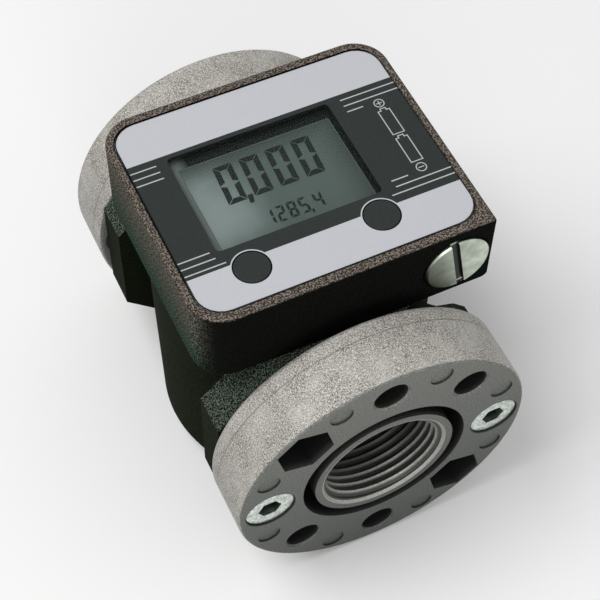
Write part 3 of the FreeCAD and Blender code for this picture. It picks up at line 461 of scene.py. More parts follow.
# painted shade on all that lies deep
deep = add(tree, "ShaderNodeMapRange", {"Value": depth, "From Min": FLOOR_DEPTHS[0], "From Max": FLOOR_DEPTHS[1],
                                        "To Max": FLOOR_SHARE})
shade = add(tree, "ShaderNodeMath", {0: wall, 1: deep}, operation="MAXIMUM")
before_back = add(tree, "ShaderNodeMath", {0: depth, 1: BACK_DEPTH}, operation="LESS_THAN")
shade = add(tree, "ShaderNodeMath", {0: shade, 1: before_back}, operation="MULTIPLY")
shade = add(tree, "ShaderNodeMath", {0: shade, 1: recess_shade}, operation="MAXIMUM")
shade = add(tree, "ShaderNodeMath", {0: shade, 1: inside}, operation="MULTIPLY")
# the painted shade goes into the flange's colour
whole = add(tree, "ShaderNodeMix", {0: shade, 6: whole.outputs[2], 7: linear(RECESS_SHADE_TONE)}, data_type="RGBA")
tree.links.new(whole.outputs[2], shader.inputs["Base Color"])
dress(cast, "inlet_flange", "outlet_flange")
print("screw heads", round(2 * HEAD_R, 1), "mm across,", round(SCREW_X / MM, 1), "mm from the axis")

# %% [markdown]
# ## Zinc plate
# The screws are steel under bright zinc. It looks like chrome gone slightly dull and green, with
# fine marks from tumbling in a barrel. The hexagon sockets of the flange screws are painted dark
# from just below the rim, as the shade inside them.

# %% Zinc
SOCKET_SHADE_SPAN = (0.3, 2.0)                  # mm below the screw's head, over which the painted shade sets in
SOCKET_SHADE_SHARE = 0.85

zinc, *_ = grained("bright zinc plate", "9fa9a2", "dbe2db", 0.6, 0.015, 0.33, metallic=1.0)
dress(zinc, "cover_screws", "deck_screws", "board_screws", "retaining_rings", "rotor_shaft")

SOCKET_FROM = (SCREW_BOX[0].y - inlet_low.y) / MM
screw_zinc, tree, shader, tone, _ = grained("zinc plate with oiled sockets", "a9b3ac", "e6ede6", 0.8, 0.012, 0.3,
                                            metallic=1.0)
depth, radius = flange_places(tree)
# painted shade inside the hexagon sockets
painted_shade = add(tree, "ShaderNodeMapRange", {"Value": depth, "From Min": SOCKET_FROM + SOCKET_SHADE_SPAN[0],
                                         "From Max": SOCKET_FROM + SOCKET_SHADE_SPAN[1], "To Max": SOCKET_SHADE_SHARE})
whole = add(tree, "ShaderNodeMix", {0: painted_shade, 6: tone.outputs[2], 7: linear("1b2b29")}, data_type="RGBA")
tree.links.new(whole.outputs[2], shader.inputs["Base Color"])
dress(screw_zinc, "inlet_flange_screws", "outlet_flange_screws")
print("screw heads lie", round(SOCKET_FROM, 2), "mm behind the face")

# %% [markdown]
# ## Nickel cap
# The battery cap is brass, turned and nickel plated: smoother than the zinc, and warmer in its
# greys. Its coin slot is painted dark as the shade inside it, and the cap is drawn darker towards
# its left. The slot is found by its depth below the cap's face, and the darker side by how far left
# a point lies.

# %% Nickel
CAP_NICKEL = ("a8b2a4", "ccd4c7")
SLOT_DEPTHS = (0.2, 1.0)                 # mm below the cap's face
SLOT_SHARE = 0.94
CAP_BEVEL = 0.7                          # mm of rim that the slot's painted shade leaves out
LEFT_DARKENING_SHARE = 0.75
LEFT_DARKENING_END = 0.6                        # of the cap's radius, right of its middle

nickel, *_ = grained("nickel plated turned brass", "a3ad9f", "c9d1c4", 3.0, 0.003, 0.3, metallic=1.0)
dress(nickel, "battery_contact")

cap_low, cap_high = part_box("battery_cap")
CAP_R = (cap_high.z - cap_low.z) / 2
cap_nickel, tree, shader, tone, _ = grained("nickel cap with dirt in the slot", *CAP_NICKEL, 3.0, 0.003, 0.3,
                                            metallic=1.0)
xyz = add(tree, "ShaderNodeSeparateXYZ", {0: add(tree, "ShaderNodeTexCoord").outputs["Object"]}).outputs
side = add(tree, "ShaderNodeMath", {0: xyz["X"], 1: (cap_low.x + cap_high.x) / 2}, operation="SUBTRACT")
up = add(tree, "ShaderNodeMath", {0: xyz["Z"], 1: (cap_low.z + cap_high.z) / 2}, operation="SUBTRACT")
spot = add(tree, "ShaderNodeCombineXYZ", {0: side, 1: up})
spot = add(tree, "ShaderNodeVectorMath", {0: spot}, operation="LENGTH").outputs["Value"]
within = add(tree, "ShaderNodeMath", {0: spot, 1: CAP_R - CAP_BEVEL * MM}, operation="LESS_THAN")
# painted shade inside the coin slot
slot = add(tree, "ShaderNodeMapRange", {"Value": xyz["Y"], "From Min": cap_low.y + SLOT_DEPTHS[0] * MM,
                                        "From Max": cap_low.y + SLOT_DEPTHS[1] * MM, "To Max": SLOT_SHARE})
slot = add(tree, "ShaderNodeMath", {0: slot, 1: within}, operation="MULTIPLY")
# the cap is drawn darker towards its left
darker_left = add(tree, "ShaderNodeMapRange", {"Value": side, "From Min": -CAP_R, "From Max": CAP_R * LEFT_DARKENING_END,
                                        "To Min": LEFT_DARKENING_SHARE, "To Max": 0.0})
tone = add(tree, "ShaderNodeMix", {0: darker_left, 6: tone.outputs[2], 7: linear("7b8579")}, data_type="RGBA")
whole = add(tree, "ShaderNodeMix", {0: slot, 6: tone.outputs[2], 7: linear("0f120e")}, data_type="RGBA")
tree.links.new(whole.outputs[2], shader.inputs["Base Color"])
dress(cap_nickel, "battery_cap")
print("the cap is", round(2 * CAP_R / MM, 1), "mm across")

# %% [markdown]
# ## Bronze and magnets
# The bushes are sintered bronze, pressed from powder: brown, and dulled by tiny pores. The magnets
# in the rotor are nickel plated against rust, and look like plain grey steel.

# %% Bronze and magnets
bronze, *_ = grained("sintered bronze", "7d5a33", "a67c4c", 0.15, 0.01, 0.45, metallic=1.0)
dress(bronze, "inlet_bush", "outlet_bush")
magnet, *_ = grained("nickel plated magnet", "8e8e90", "b2b2b4", 0.4, 0.005, 0.3, metallic=1.0)
dress(magnet, "rotor_magnets")

# %% [markdown]
# ## Film of the front plate and the keys
# The front plate is silver polyester film on a black carrier. Its cut edges and the walls of its
# window are drawn black, partly as the carrier's own colour and partly as painted shade. The keys
# are moulded, with a charcoal film on top. Both films are even and softly matt, because the printed
# side is the back of a clear sheet whose front is finely etched.

# %% Films
# black of the carrier together with painted shade, on the plate's side faces
CARRIER_AND_SHADE = "131716"
TOP_FACING = 0.5                         # of the normal's Z: the film's face lies above this

film, tree, shader, tone, _ = grained("silver polyester film", "c2c3c8", "c5c6cb", 0.5, 0.0005, 0.5, specular=0.2)
normal = add(tree, "ShaderNodeSeparateXYZ", {0: add(tree, "ShaderNodeNewGeometry").outputs["True Normal"]})
upper = add(tree, "ShaderNodeMath", {0: normal.outputs["Z"], 1: TOP_FACING}, operation="GREATER_THAN")
whole = add(tree, "ShaderNodeMix", {0: upper, 6: linear(CARRIER_AND_SHADE), 7: tone.outputs[2]}, data_type="RGBA")
tree.links.new(whole.outputs[2], shader.inputs["Base Color"])
dress(film, "label_plate")
keys, *_ = grained("charcoal key film", "272d2c", "2d3332", 0.5, 0.004, 0.5, specular=0.15)
dress(keys, "left_button", "right_button")

# %% [markdown]
# ## Rubber, plastics, board and cells
# These lie inside, where little light falls. Each tone is a typical value for the material, kept
# away from pure black and white, because real plastics never reach either.

# %% Inner materials
# nitrile rubber is moulded and soft, so it is dull and takes up light
rubber, *_ = grained("nitrile rubber", "0e0e0e", "1a1a1a", 0.3, 0.01, 0.7, specular=0.2)
dress(rubber, "cap_oring", "cover_oring", "inlet_flange_oring", "outlet_flange_oring", "deck_gasket",
      "contact_strips")
# natural acetal is a milky white plastic, machined or moulded, with a waxy sheen
acetal, *_ = grained("natural acetal", "d3d2cb", "dedcd5", 0.6, 0.004, 0.4)
dress(acetal, "measuring_insert", "turbine_rotor", "inlet_vanes", "outlet_vanes")
# nylon takes the fine matt grain of an eroded mould
black_plastic, *_ = grained("black moulded nylon", "151515", "202020", 0.25, 0.008, 0.5)
dress(black_plastic, "pickup_sensor", "tact_switches")
# solder mask is a green lacquer over the laminate's weave, so it gleams a little
laminate, *_ = grained("green solder mask on laminate", "0f4a2c", "17603a", 1.2, 0.005, 0.35)
dress(laminate, "circuit_board")
# a cell's jacket is thin film shrunk on, tight and fairly glossy
jacket, *_ = grained("shrunk cell jacket", "2c2d30", "3a3b3f", 0.8, 0.003, 0.3)
dress(jacket, "front_battery", "rear_battery")

# %% [markdown]
# ## Glass of the display
# A reflective liquid-crystal panel is a grey-green mirror seen through a polariser. A pale patch on
# its left is a painted reflection, and the panel is painted darker towards the top and the right as
# the frame's shade. A slow noise bends the edge of the pale part, which would look drawn with a
# compass without it.

# %% Panel
REFLECTION_AT = (FACE_X - 25, FACE_Y - 3)      # mm, middle of the painted reflection
REFLECTION_SPAN = (3, 22)                      # mm from there
WOBBLE = 7                               # mm
CLOUD_SIZE = 9                           # mm
SHADED_FROM = (FACE_X + 10, FACE_Y + 8)  # mm, where the painted shade of the frame begins
SHADED_TO = (FACE_X + 18, FACE_Y + 15)
SHADED_SHARE = 0.6

lcd, tree, shader, tone, _ = grained("liquid crystal glass", "5f6e6b", "66756f", 0.4, 0.002, 0.3, specular=0.1)
place = add(tree, "ShaderNodeTexCoord").outputs["Object"]
xyz = add(tree, "ShaderNodeSeparateXYZ", {0: place}).outputs
clouds = add(tree, "ShaderNodeTexNoise", {"Vector": place, "Scale": 1 / (CLOUD_SIZE * MM), "Detail": 2.0})
wobble = add(tree, "ShaderNodeMapRange", {"Value": clouds, "To Min": -WOBBLE * MM, "To Max": WOBBLE * MM})
away = add(tree, "ShaderNodeVectorMath", {0: place, 1: (REFLECTION_AT[0] * MM, REFLECTION_AT[1] * MM, LCD_Z * MM)},
           operation="DISTANCE")
away = add(tree, "ShaderNodeMath", {0: away.outputs["Value"], 1: wobble}, operation="ADD")
# painted reflection: the panel is pale on the left
pale = add(tree, "ShaderNodeMapRange", {"Value": away, "From Min": REFLECTION_SPAN[0] * MM,
                                        "From Max": REFLECTION_SPAN[1] * MM, "To Min": 1.0, "To Max": 0.0},
           interpolation_type="SMOOTHSTEP")
tone = add(tree, "ShaderNodeMix", {0: pale, 6: tone.outputs[2], 7: linear("98a8a4")}, data_type="RGBA")
# painted shade of the frame, towards the top and the right
right = add(tree, "ShaderNodeMapRange", {"Value": xyz["X"], "From Min": SHADED_FROM[0] * MM,
                                         "From Max": SHADED_TO[0] * MM, "To Max": SHADED_SHARE})
top = add(tree, "ShaderNodeMapRange", {"Value": xyz["Y"], "From Min": SHADED_FROM[1] * MM,
                                       "From Max": SHADED_TO[1] * MM, "To Max": SHADED_SHARE})
shaded = add(tree, "ShaderNodeMath", {0: right, 1: top}, operation="MAXIMUM")
tone = add(tree, "ShaderNodeMix", {0: shaded, 6: tone.outputs[2], 7: linear("2c3634")}, data_type="RGBA")
tree.links.new(tone.outputs[2], shader.inputs["Base Color"])
dress(lcd, "lcd_panel")

# %% [markdown]
# ## Pane over the display
# The pane is clear polycarbonate with a polished face. Real glass with refraction would need many
# light paths to look through, so it is drawn as a thin smoky sheet that is nearly all see-through
# but still reflects.

# %% Pane
PANE_SHARE = 0.10                        # how much of the sheet is seen

pane, tree, shader, *_ = grained("clear polycarbonate", "1a2020", "1e2424", 4.0, 0.0005, 0.06)
shader.inputs["Alpha"].default_value = PANE_SHARE
dress(pane, "display_window")

# %% [markdown]
# ## Printing the front plate
# Ink has a thickness, so each colour is a thin flat shape laid on the plate: outlines in
# millimetres from the plate's middle, filled, with inner outlines left open as holes. Shapes stay
# sharp at any distance, where a painted texture would blur.

# %% Outlines
def rounded(x0, x1, y0, y1, r, steps=6):
    """Outline of a rectangle with round corners."""
    points = []
    for cx, cy, start in ((x1 - r, y1 - r, 0), (x0 + r, y1 - r, 90), (x0 + r, y0 + r, 180), (x1 - r, y0 + r, 270)):
        for i in range(steps + 1):
            a = math.radians(start + 90 * i / steps)
            points.append((cx + r * math.cos(a), cy + r * math.sin(a)))
    return points


def circle(cx, cy, r, steps=64):
    """Outline of a disc."""
    return [(cx + r * math.cos(math.tau * i / steps), cy + r * math.sin(math.tau * i / steps)) for i in range(steps)]


def bar(x0, x1, y0, y1):
    """Outline of a rectangle, anticlockwise from its lower left corner."""
    return [(x0, y0), (x1, y0), (x1, y1), (x0, y1)]


print("a rounded rectangle has", len(rounded(0, 2, 0, 1, 0.1)), "points, and a circle", len(circle(0, 0, 1)))

# %% [markdown]
# ## From outlines to ink
# A 2D curve fills its outlines by the even-odd rule, so an outline inside another is a hole. It is
# given the ink's thickness, made a mesh, and moved to its height on the meter. It rides on the
# meter's body, as every printed shape here does.

# %% Flat shapes
INK_T = 0.03                             # mm
BODY = "meter"


def flat_shape(name, outlines, low, material):
    """Filled outlines, in mm from the middle of the face, as a thin closed mesh from low upwards."""
    curve = bpy.data.curves.new(name, "CURVE")
    curve.dimensions = "2D"
    curve.fill_mode = "BOTH"
    curve.extrude = INK_T / 2 * MM
    for points in outlines:
        spline = curve.splines.new("POLY")
        spline.points.add(len(points) - 1)
        spline.use_cyclic_u = True
        for point, (x, y) in zip(spline.points, points):
            point.co = (x * MM, y * MM, 0, 1)
    drawn = bpy.data.objects.new(name + "_drawn", curve)
    mesh = bpy.data.meshes.new_from_object(drawn)
    bpy.data.objects.remove(drawn)
    mesh.name = name
    mesh.transform(Matrix.Translation(Vector((FACE_X, FACE_Y, low + INK_T / 2)) * MM))
    mesh.materials.clear()
    mesh.materials.append(material)
    piece = bpy.data.objects.new(name, mesh)
    bpy.context.scene.collection.objects.link(piece)
    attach(piece, BODY)
    print(name, len(mesh.polygons), "faces")


# %% [markdown]
# ## The charcoal band
# A band of charcoal ink crosses the plate. The window and the two keys leave holes in it, and the
# keys' holes are wider than the keys, so a ring of silver film shows round each.

# %% Band
BAND = (-18.6, 18.1)                     # its lower and upper edge
BAND_INK = ("272d2c", "2c3231")
PALE_INK = ("b4b8b8", "bec2c2")
WINDOW = (-26.0, 17.5, -14.0, 16.8)      # left, right, lower and upper edge
WINDOW_R = 1.2
ARC_STEPS = 24                           # round a key
key_boxes = [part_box("left_button"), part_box("right_button")]
KEYS = [((low.x + high.x) / 2 / MM - FACE_X, (low.y + high.y) / 2 / MM - FACE_Y) for low, high in key_boxes]
KEY_RING_R = 5.1                         # outer radius of the silver ring round a key

# screen ink dries as a thick even coat, flatter and duller than the film under it
ink, *_ = grained("charcoal screen ink", *BAND_INK, 0.5, 0.003, 0.5, specular=0.15)
pale_ink, *_ = grained("pale grey screen ink", *PALE_INK, 0.5, 0.003, 0.5, specular=0.15)


def band_outline():
    """The band's edge, which steps round the silver ring of each key that crosses it."""
    y0, y1 = BAND
    half_w = PLATE_W / 2
    points = [(half_w, y1), (-half_w, y1), (-half_w, y0)]
    r = KEY_RING_R
    for cx, cy in KEYS:
        reach = math.acos((y0 - cy) / r)
        for i in range(ARC_STEPS + 1):
            a = math.pi / 2 + reach - 2 * reach * i / ARC_STEPS
            points.append((cx + r * math.cos(a), cy + r * math.sin(a)))
    points.append((half_w, y0))
    return points


flat_shape("label_band", [band_outline(), rounded(*WINDOW, WINDOW_R)], PLATE_Z, ink)

# %% [markdown]
# ## Painted shadow along the plate's edge
# A dark hairline along the plate's left and lower edge is a painted shadow, standing for the shade
# in the gap round the plate. It is drawn as a frame between two outlines.

# %% Painted edge shadow
PLATE_R = 6.5                            # mm, corner of the plate
SHADOW_W = 0.3                              # mm of painted shadow on the left and below
SHADOW_W_LESS = 0.05                        # and on the right and above
PLATE_D = (plate_high.y - plate_low.y) / MM
edge = rounded(-PLATE_W / 2, PLATE_W / 2, -PLATE_D / 2, PLATE_D / 2, PLATE_R)
film_edge = rounded(-PLATE_W / 2 + SHADOW_W, PLATE_W / 2 - SHADOW_W_LESS, -PLATE_D / 2 + SHADOW_W,
                    PLATE_D / 2 - SHADOW_W_LESS, PLATE_R)
# a painted shadow: dark ink along the plate's left and lower edge
edge_shadow, *_ = grained("black polyester carrier", "0c0e0d", "141716", 0.5, 0.001, 0.5, specular=0.1)
flat_shape("label_edge_shadow", [edge, film_edge], PLATE_Z + 2 * INK_T, edge_shadow)

# %% [markdown]
# ## Lines
# Three pale lines mark each corner of the band. They start at the plate's edge or near the window,
# and each is a bar round its middle height.

# %% Lines
LINE_W = 0.34
LINES = (                                # left end, right end and height, mm from the plate's middle
    (-36.0, -28.9, 15.9), (-36.0, -28.7, 13.8), (-36.0, -28.6, 11.7),
    (-36.0, -27.6, -13.4), (-36.0, -27.0, -15.4), (-36.0, -25.2, -17.5),
    (20.9, 36.0, 16.2), (20.9, 36.0, 14.1), (20.9, 25.3, 12.1),
    (20.7, 25.2, -12.2), (20.9, 36.0, -14.2), (18.9, 36.0, -16.2),
)
lines = [bar(x0, x1, y - LINE_W / 2, y + LINE_W / 2) for x0, x1, y in LINES]
flat_shape("label_lines", lines, PLATE_Z + INK_T, pale_ink)

# %% [markdown]
# ## Battery signs
# On the right of the band, two cell outlines in a row with a plus and a minus sign show which way
# round the batteries go in. A line drawing is an outline with a slightly smaller one as its hole.

# %% Battery signs
CELL_X = 29.4                            # middle of the row
CELL_HALF = 1.7
CELLS = ((8.95, 0.55), (-0.65, -9.15))   # top and bottom of each
POLE_H = 0.7
POLE_SHARE = 0.5                         # of the cell's width
SIGN_YS = (11.4, -11.2)                  # plus and minus
SIGN_R = 1.4
SIGN_ARM = 0.55                          # of the ring's radius
STROKE = 0.27


def cell_outline(top, bottom, inset):
    """Outline of a cell that stands on its flat end, with its pole on top, drawn in by inset."""
    half = CELL_HALF - inset
    pole = CELL_HALF * POLE_SHARE - inset
    tip = top + POLE_H - inset
    top = top - inset
    bottom = bottom + inset
    return [(CELL_X - half, bottom), (CELL_X + half, bottom), (CELL_X + half, top), (CELL_X + pole, top),
            (CELL_X + pole, tip), (CELL_X - pole, tip), (CELL_X - pole, top), (CELL_X - half, top)]


def cross(x, y, arm, w):
    """Outline of a plus sign, with arms of half width w."""
    return [(x - arm, y - w), (x - w, y - w), (x - w, y - arm), (x + w, y - arm), (x + w, y - w), (x + arm, y - w),
            (x + arm, y + w), (x + w, y + w), (x + w, y + arm), (x - w, y + arm), (x - w, y + w), (x - arm, y + w)]


signs = []
for top, bottom in CELLS:
    signs += [cell_outline(top, bottom, 0.0), cell_outline(top, bottom, STROKE)]
for y in SIGN_YS:
    signs += [circle(CELL_X, y, SIGN_R), circle(CELL_X, y, SIGN_R - STROKE)]
arm = SIGN_R * SIGN_ARM
signs.append(cross(CELL_X, SIGN_YS[0], arm, STROKE / 2))
signs.append(bar(CELL_X - arm, CELL_X + arm, SIGN_YS[1] - STROKE / 2, SIGN_YS[1] + STROKE / 2))
flat_shape("battery_signs", signs, PLATE_Z + INK_T, pale_ink)

# %% [markdown]
# ## Segments of the display
# Each figure has up to seven segments with mitred ends, so neighbours nearly touch along thin
# pale gaps. They are named a to g, clockwise from the top, with g across the middle.

# %% Seven-segment figures
LIT = {"0": "abcdef", "1": "bc", "2": "abged", "4": "fgbc", "5": "afgcd", "8": "abcdefg"}
GAP = 0.13                               # mm that each end is drawn back


def figure(sign, x, y, w, h, t):
    """Outlines of one figure's segments: lower left corner x, y, width, height and stroke."""
    m = y + h / 2
    g = GAP
    shapes = {
        "a": [(x + g, y + h), (x + w - g, y + h), (x + w - t - g, y + h - t), (x + t + g, y + h - t)],
        "d": [(x + g, y), (x + w - g, y), (x + w - t - g, y + t), (x + t + g, y + t)],
        "f": [(x, y + h - g), (x + t, y + h - t - g), (x + t, m + t / 2), (x, m + g)],
        "e": [(x, y + g), (x + t, y + t + g), (x + t, m - t / 2), (x, m - g)],
        "b": [(x + w, y + h - g), (x + w - t, y + h - t - g), (x + w - t, m + t / 2), (x + w, m + g)],
        "c": [(x + w, y + g), (x + w - t, y + t + g), (x + w - t, m - t / 2), (x + w, m - g)],
        "g": [(x + g * 2, m), (x + t, m + t / 2), (x + w - t, m + t / 2), (x + w - g * 2, m),
              (x + w - t, m - t / 2), (x + t, m - t / 2)],
    }
    return [shapes[s] for s in LIT[sign]]


print("an 8 has", len(figure("8", 0, 0, 1, 2, 0.2)), "segments")

# %% [markdown]
# ## Two rows of figures
# The large figures show the current fill, and the small ones below show a running total. The
# figures lean a little, as on most such displays, so each point is moved right by a share of its
# height.

# %% Rows of figures
LEAN = 0.06
COMMA_GAP = 0.15                         # mm from the figure before it
COMMA_UP, COMMA_DOWN, COMMA_TIP = 0.7, 1.0, 0.7    # in strokes: above the line, below it, width at the foot


def row(text, x, y, w, h, t, pitch, comma_room):
    """Outlines of a line of figures. A comma stands low between two figures."""
    shapes = []
    for sign in text:
        if sign == ",":
            edge = x - pitch + w + COMMA_GAP
            top, foot = y + COMMA_UP * t, y - COMMA_DOWN * t
            shapes.append([(edge, top), (edge + t, top), (edge + COMMA_TIP * t, foot), (edge, foot)])
            x += comma_room
            continue
        shapes += figure(sign, x, y, w, h, t)
        x += pitch
    return [[(px + LEAN * (py - y), py) for px, py in shape] for shape in shapes]


# lower left corner, width, height and stroke, pitch, and the room that a comma takes
big = row("0,000", -17.0, -0.7, 4.95, 12.1, 1.5, 6.95, 0.0)
small = row("1285,4", -10.9, -10.5, 2.25, 4.8, 0.68, 3.0, 0.9)
# a lit segment is a shadow on the mirror behind it, so it is dark but never quite black
segment_ink, *_ = grained("dark liquid crystal", "1f2725", "27302e", 0.4, 0.002, 0.4, specular=0.1)
flat_shape("lcd_figures", big + small, LCD_Z, segment_ink)

# %% [markdown]
# ## Frame of the panel
# A black frame is printed round the panel's left, upper and right edge to hide its seal, and stays
# open below. It is painted paler towards the left, as painted light that it catches through the
# pane. A grey line runs along its inner edge.

# %% Panel frame
VIEW = (-24.1, 16.7, 14.3)               # left, right and upper edge of the open part
FRAME = (-27.2, 18.8, -15.2, 18.2)       # outer edge, a little inside the panel's own
EDGE_W = 0.22
LIT_SIDE = (-24.2, -21)                 # mm: painted light left of the first, black right of the second
LIT_SIDE_SHARE = 0.9
x0, x1, y1 = VIEW
foot = FRAME[2]
opening = bar(x0, x1, foot, y1)
inner = bar(x0 + EDGE_W, x1 - EDGE_W, foot, y1 - EDGE_W)
mask_ink, tree, shader, tone, _ = grained("black panel frame", "161d1b", "1c2422", 0.5, 0.002, 0.5, specular=0.1)
across = add(tree, "ShaderNodeSeparateXYZ", {0: add(tree, "ShaderNodeTexCoord").outputs["Object"]}).outputs["X"]
# painted light on the frame's left
pale = add(tree, "ShaderNodeMapRange", {"Value": across, "From Min": LIT_SIDE[0] * MM,
                                        "From Max": LIT_SIDE[1] * MM, "To Min": LIT_SIDE_SHARE,
                                        "To Max": 0.0})
tone = add(tree, "ShaderNodeMix", {0: pale, 6: tone.outputs[2], 7: linear("84908d")}, data_type="RGBA")
tree.links.new(tone.outputs[2], shader.inputs["Base Color"])
edge_ink, *_ = grained("frame edge", "5f6b68", "6d7976", 0.5, 0.002, 0.5, specular=0.1)
frame_outline = [(x0, y1), (x0, foot), (FRAME[0], foot), (FRAME[0], FRAME[3]), (FRAME[1], FRAME[3]),
                 (FRAME[1], foot), (x1, foot), (x1, y1)]
flat_shape("lcd_mask", [frame_outline], LCD_Z, mask_ink)
edge_outline = [opening[3], opening[0], inner[0], inner[3], inner[2], inner[1], opening[1], opening[2]]
flat_shape("lcd_edge", [edge_outline], LCD_Z, edge_ink)

# %% [markdown]
# ## Pipe thread in the ports
# A G1 thread is a wave with a 2.309 mm pitch, wrapped round the bore so that it goes one pitch
# deeper for each turn clockwise. That is a rule, not a model, so Geometry Nodes can grow it: a
# flat grid is rolled into a sleeve, and each point's radius follows the wave. The sleeve's valleys
# lie on the bore's wall, and its ridges reach in to the thread's inner diameter of 30.3 mm.

# %% The thread's node tree
THREAD_PITCH = 2.309                     # mm
THREAD_R = 16.58                         # mm; a hair inside the bore's wall, so the two never fight
THREAD_H = 1.43                          # mm
PORT_LENGTH = 16.7                       # mm
MERGE_GAP = 0.001                        # mm, closes the seam of the rolled grid
STEPS_ROUND, STEPS_ALONG = 121, 116
CREST, ROUNDING = 0.95, 0.2              # the wave is cut off at its crest, and rounded there
RUN_OUT = 0.04                           # share of the length over which the thread fades out


def thread_tree():
    """Node tree that grows one threaded sleeve along Y, from its mouth inwards."""
    tree = bpy.data.node_groups.new("pipe thread", "GeometryNodeTree")
    face = tree.interface
    for name, value in (("Radius", THREAD_R * MM), ("Pitch", THREAD_PITCH * MM), ("Height", THREAD_H * MM),
                        ("Length", PORT_LENGTH * MM)):
        face.new_socket(name, in_out="INPUT", socket_type="NodeSocketFloat").default_value = value
    for name, value in (("Steps Round", STEPS_ROUND), ("Steps Along", STEPS_ALONG)):
        face.new_socket(name, in_out="INPUT", socket_type="NodeSocketInt").default_value = value
    face.new_socket("Finish", in_out="INPUT", socket_type="NodeSocketMaterial")
    face.new_socket("Geometry", in_out="OUTPUT", socket_type="NodeSocketGeometry")
    given = add(tree, "NodeGroupInput").outputs

    # the grid runs from -0.5 to 0.5: X becomes the share of a turn, Y the share of the length
    grid = add(tree, "GeometryNodeMeshGrid", {"Size X": 1.0, "Size Y": 1.0, "Vertices X": given["Steps Round"],
                                              "Vertices Y": given["Steps Along"]})
    spot = add(tree, "ShaderNodeSeparateXYZ", {0: add(tree, "GeometryNodeInputPosition")}).outputs
    turn = add(tree, "ShaderNodeMath", {0: spot["X"], 1: 0.5}, operation="ADD")
    share = add(tree, "ShaderNodeMath", {0: spot["Y"], 1: 0.5}, operation="ADD")
    depth = add(tree, "ShaderNodeMath", {0: share, 1: given["Length"]}, operation="MULTIPLY")

    # the wave, with rounded crests
    phase = add(tree, "ShaderNodeMath", {0: depth, 1: given["Pitch"]}, operation="DIVIDE")
    phase = add(tree, "ShaderNodeMath", {0: phase, 1: turn}, operation="ADD")
    wave = add(tree, "ShaderNodeMath", {0: phase, 1: 0.5}, operation="PINGPONG")
    wave = add(tree, "ShaderNodeMath", {0: wave, 1: 2.0}, operation="MULTIPLY")
    ridge = add(tree, "ShaderNodeMath", {0: wave, 1: CREST, 2: ROUNDING}, operation="SMOOTH_MIN")

    # it runs out at both ends
    rest = add(tree, "ShaderNodeMath", {0: 1.0, 1: share}, operation="SUBTRACT")
    nearer = add(tree, "ShaderNodeMath", {0: share, 1: rest}, operation="MINIMUM")
    fade = add(tree, "ShaderNodeMapRange", {"Value": nearer, "From Max": RUN_OUT})
    lift = add(tree, "ShaderNodeMath", {0: ridge, 1: fade}, operation="MULTIPLY")
    lift = add(tree, "ShaderNodeMath", {0: lift, 1: given["Height"]}, operation="MULTIPLY")
    radius = add(tree, "ShaderNodeMath", {0: given["Radius"], 1: lift}, operation="SUBTRACT")

    angle = add(tree, "ShaderNodeMath", {0: turn, 1: math.tau}, operation="MULTIPLY")
    cosine = add(tree, "ShaderNodeMath", {0: angle}, operation="COSINE")
    sine = add(tree, "ShaderNodeMath", {0: angle}, operation="SINE")
    x = add(tree, "ShaderNodeMath", {0: radius, 1: cosine}, operation="MULTIPLY")
    z = add(tree, "ShaderNodeMath", {0: radius, 1: sine}, operation="MULTIPLY")
    point = add(tree, "ShaderNodeCombineXYZ", {0: x, 1: depth, 2: z})
    rolled = add(tree, "GeometryNodeSetPosition", {"Geometry": grid, "Position": point})
    joined = add(tree, "GeometryNodeMergeByDistance", {"Geometry": rolled, "Distance": MERGE_GAP * MM})
    smooth = add(tree, "GeometryNodeSetShadeSmooth", {"Geometry": joined})
    real = add(tree, "GeometryNodeRealizeInstances", {"Geometry": smooth})
    finished = add(tree, "GeometryNodeSetMaterial", {"Geometry": real, "Material": given["Finish"]})
    add(tree, "NodeGroupOutput", {"Geometry": finished})
    return tree


THREAD = thread_tree()
print("thread tree with", len(THREAD.nodes), "nodes")

# %% [markdown]
# ## Finish of the threads
# The thread is cut, not cast, so its aluminium is bright and shows no blasted grain. Its crests stay
# bright, and its valleys, and all that lies further in, are painted dark as shade.

# %% Cut aluminium
VALLEY_SPAN = (0.95, 0.45)               # in thread heights inward of the sleeve: bright above, painted shade below
VALLEY_SHADE_SHARE = 0.93
SHADE_DEPTHS = (1.5, 10.0)                 # mm behind the face, over which the painted shade sets in
DEEP_SHADE_SHARE = 0.96

machined, tree, shader, tone, _ = grained(
    "machined cast aluminium", "a6a69f", "cfcfc8", 0.5, 0.01, 0.4, metallic=0.3)
depth, radius = flange_places(tree)
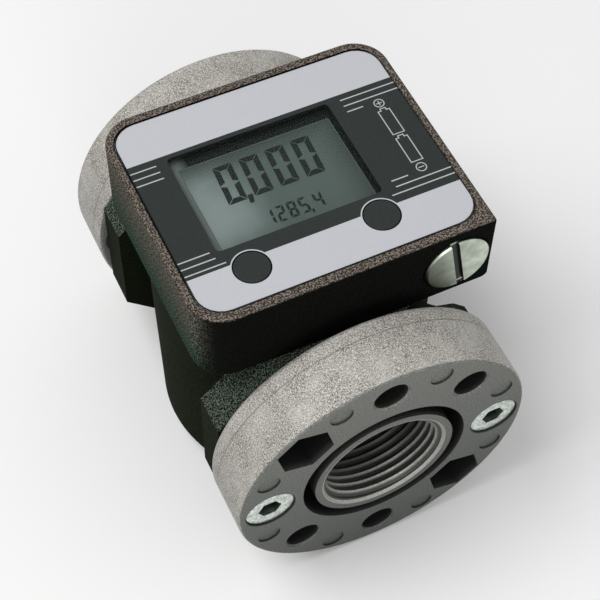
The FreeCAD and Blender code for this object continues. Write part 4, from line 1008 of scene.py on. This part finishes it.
# painted shade in the valleys of the thread
valley = add(tree, "ShaderNodeMapRange", {"Value": radius, "From Min": THREAD_R - VALLEY_SPAN[0] * THREAD_H,
                                          "From Max": THREAD_R - VALLEY_SPAN[1] * THREAD_H,
                                          "To Max": VALLEY_SHADE_SHARE})
# painted shade that deepens further into the port
deep = add(tree, "ShaderNodeMapRange", {"Value": depth, "From Min": SHADE_DEPTHS[0], "From Max": SHADE_DEPTHS[1],
                                        "To Max": DEEP_SHADE_SHARE})
painted_shade = add(tree, "ShaderNodeMath", {0: valley, 1: deep}, operation="MAXIMUM")
whole = add(tree, "ShaderNodeMix", {0: painted_shade, 6: tone.outputs[2], 7: linear("161715")}, data_type="RGBA")
tree.links.new(whole.outputs[2], shader.inputs["Base Color"])
# the painted shade is full from this depth on
print("oil is full from", SHADE_DEPTHS[1], "mm deep")

# %% [markdown]
# ## One thread in each port
# The same tree serves both ports. The outlet's sleeve is turned round, so that it starts at its
# own mouth and keeps its right-hand lead.

# %% Threads
MOUTH_DEPTH = 0.62                       # mm behind the face


def port_thread(name, turn, mouth_y):
    """Evaluate the tree and keep the result as a plain mesh, placed at one port."""
    blank = bpy.data.objects.new(name + "_blank", bpy.data.meshes.new(name + "_blank"))
    bpy.context.scene.collection.objects.link(blank)
    grow = blank.modifiers.new("thread", "NODES")
    grow.node_group = THREAD
    wanted = {"Length": PORT_LENGTH * MM, "Finish": machined}
    for item in THREAD.interface.items_tree:
        if item.in_out == "INPUT" and item.name in wanted:
            grow[item.identifier] = wanted[item.name]
    graph = bpy.context.evaluated_depsgraph_get()
    mesh = bpy.data.meshes.new_from_object(blank.evaluated_get(graph))
    bpy.data.objects.remove(blank)
    mesh.name = name
    mesh.transform(Matrix.Translation((0, mouth_y, 0)) @ Matrix.Rotation(turn, 4, "Z"))
    piece = bpy.data.objects.new(name, mesh)
    bpy.context.scene.collection.objects.link(piece)
    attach(piece, BODY)
    inward = sum(1 for f in mesh.polygons if f.normal.x * f.center.x + f.normal.z * f.center.z < 0)
    print(name, len(mesh.polygons), "faces,", inward, "face the axis")


port_thread("inlet_thread", 0.0, inlet_low.y + MOUTH_DEPTH * MM)
port_thread("outlet_thread", math.pi, outlet_high.y - MOUTH_DEPTH * MM)
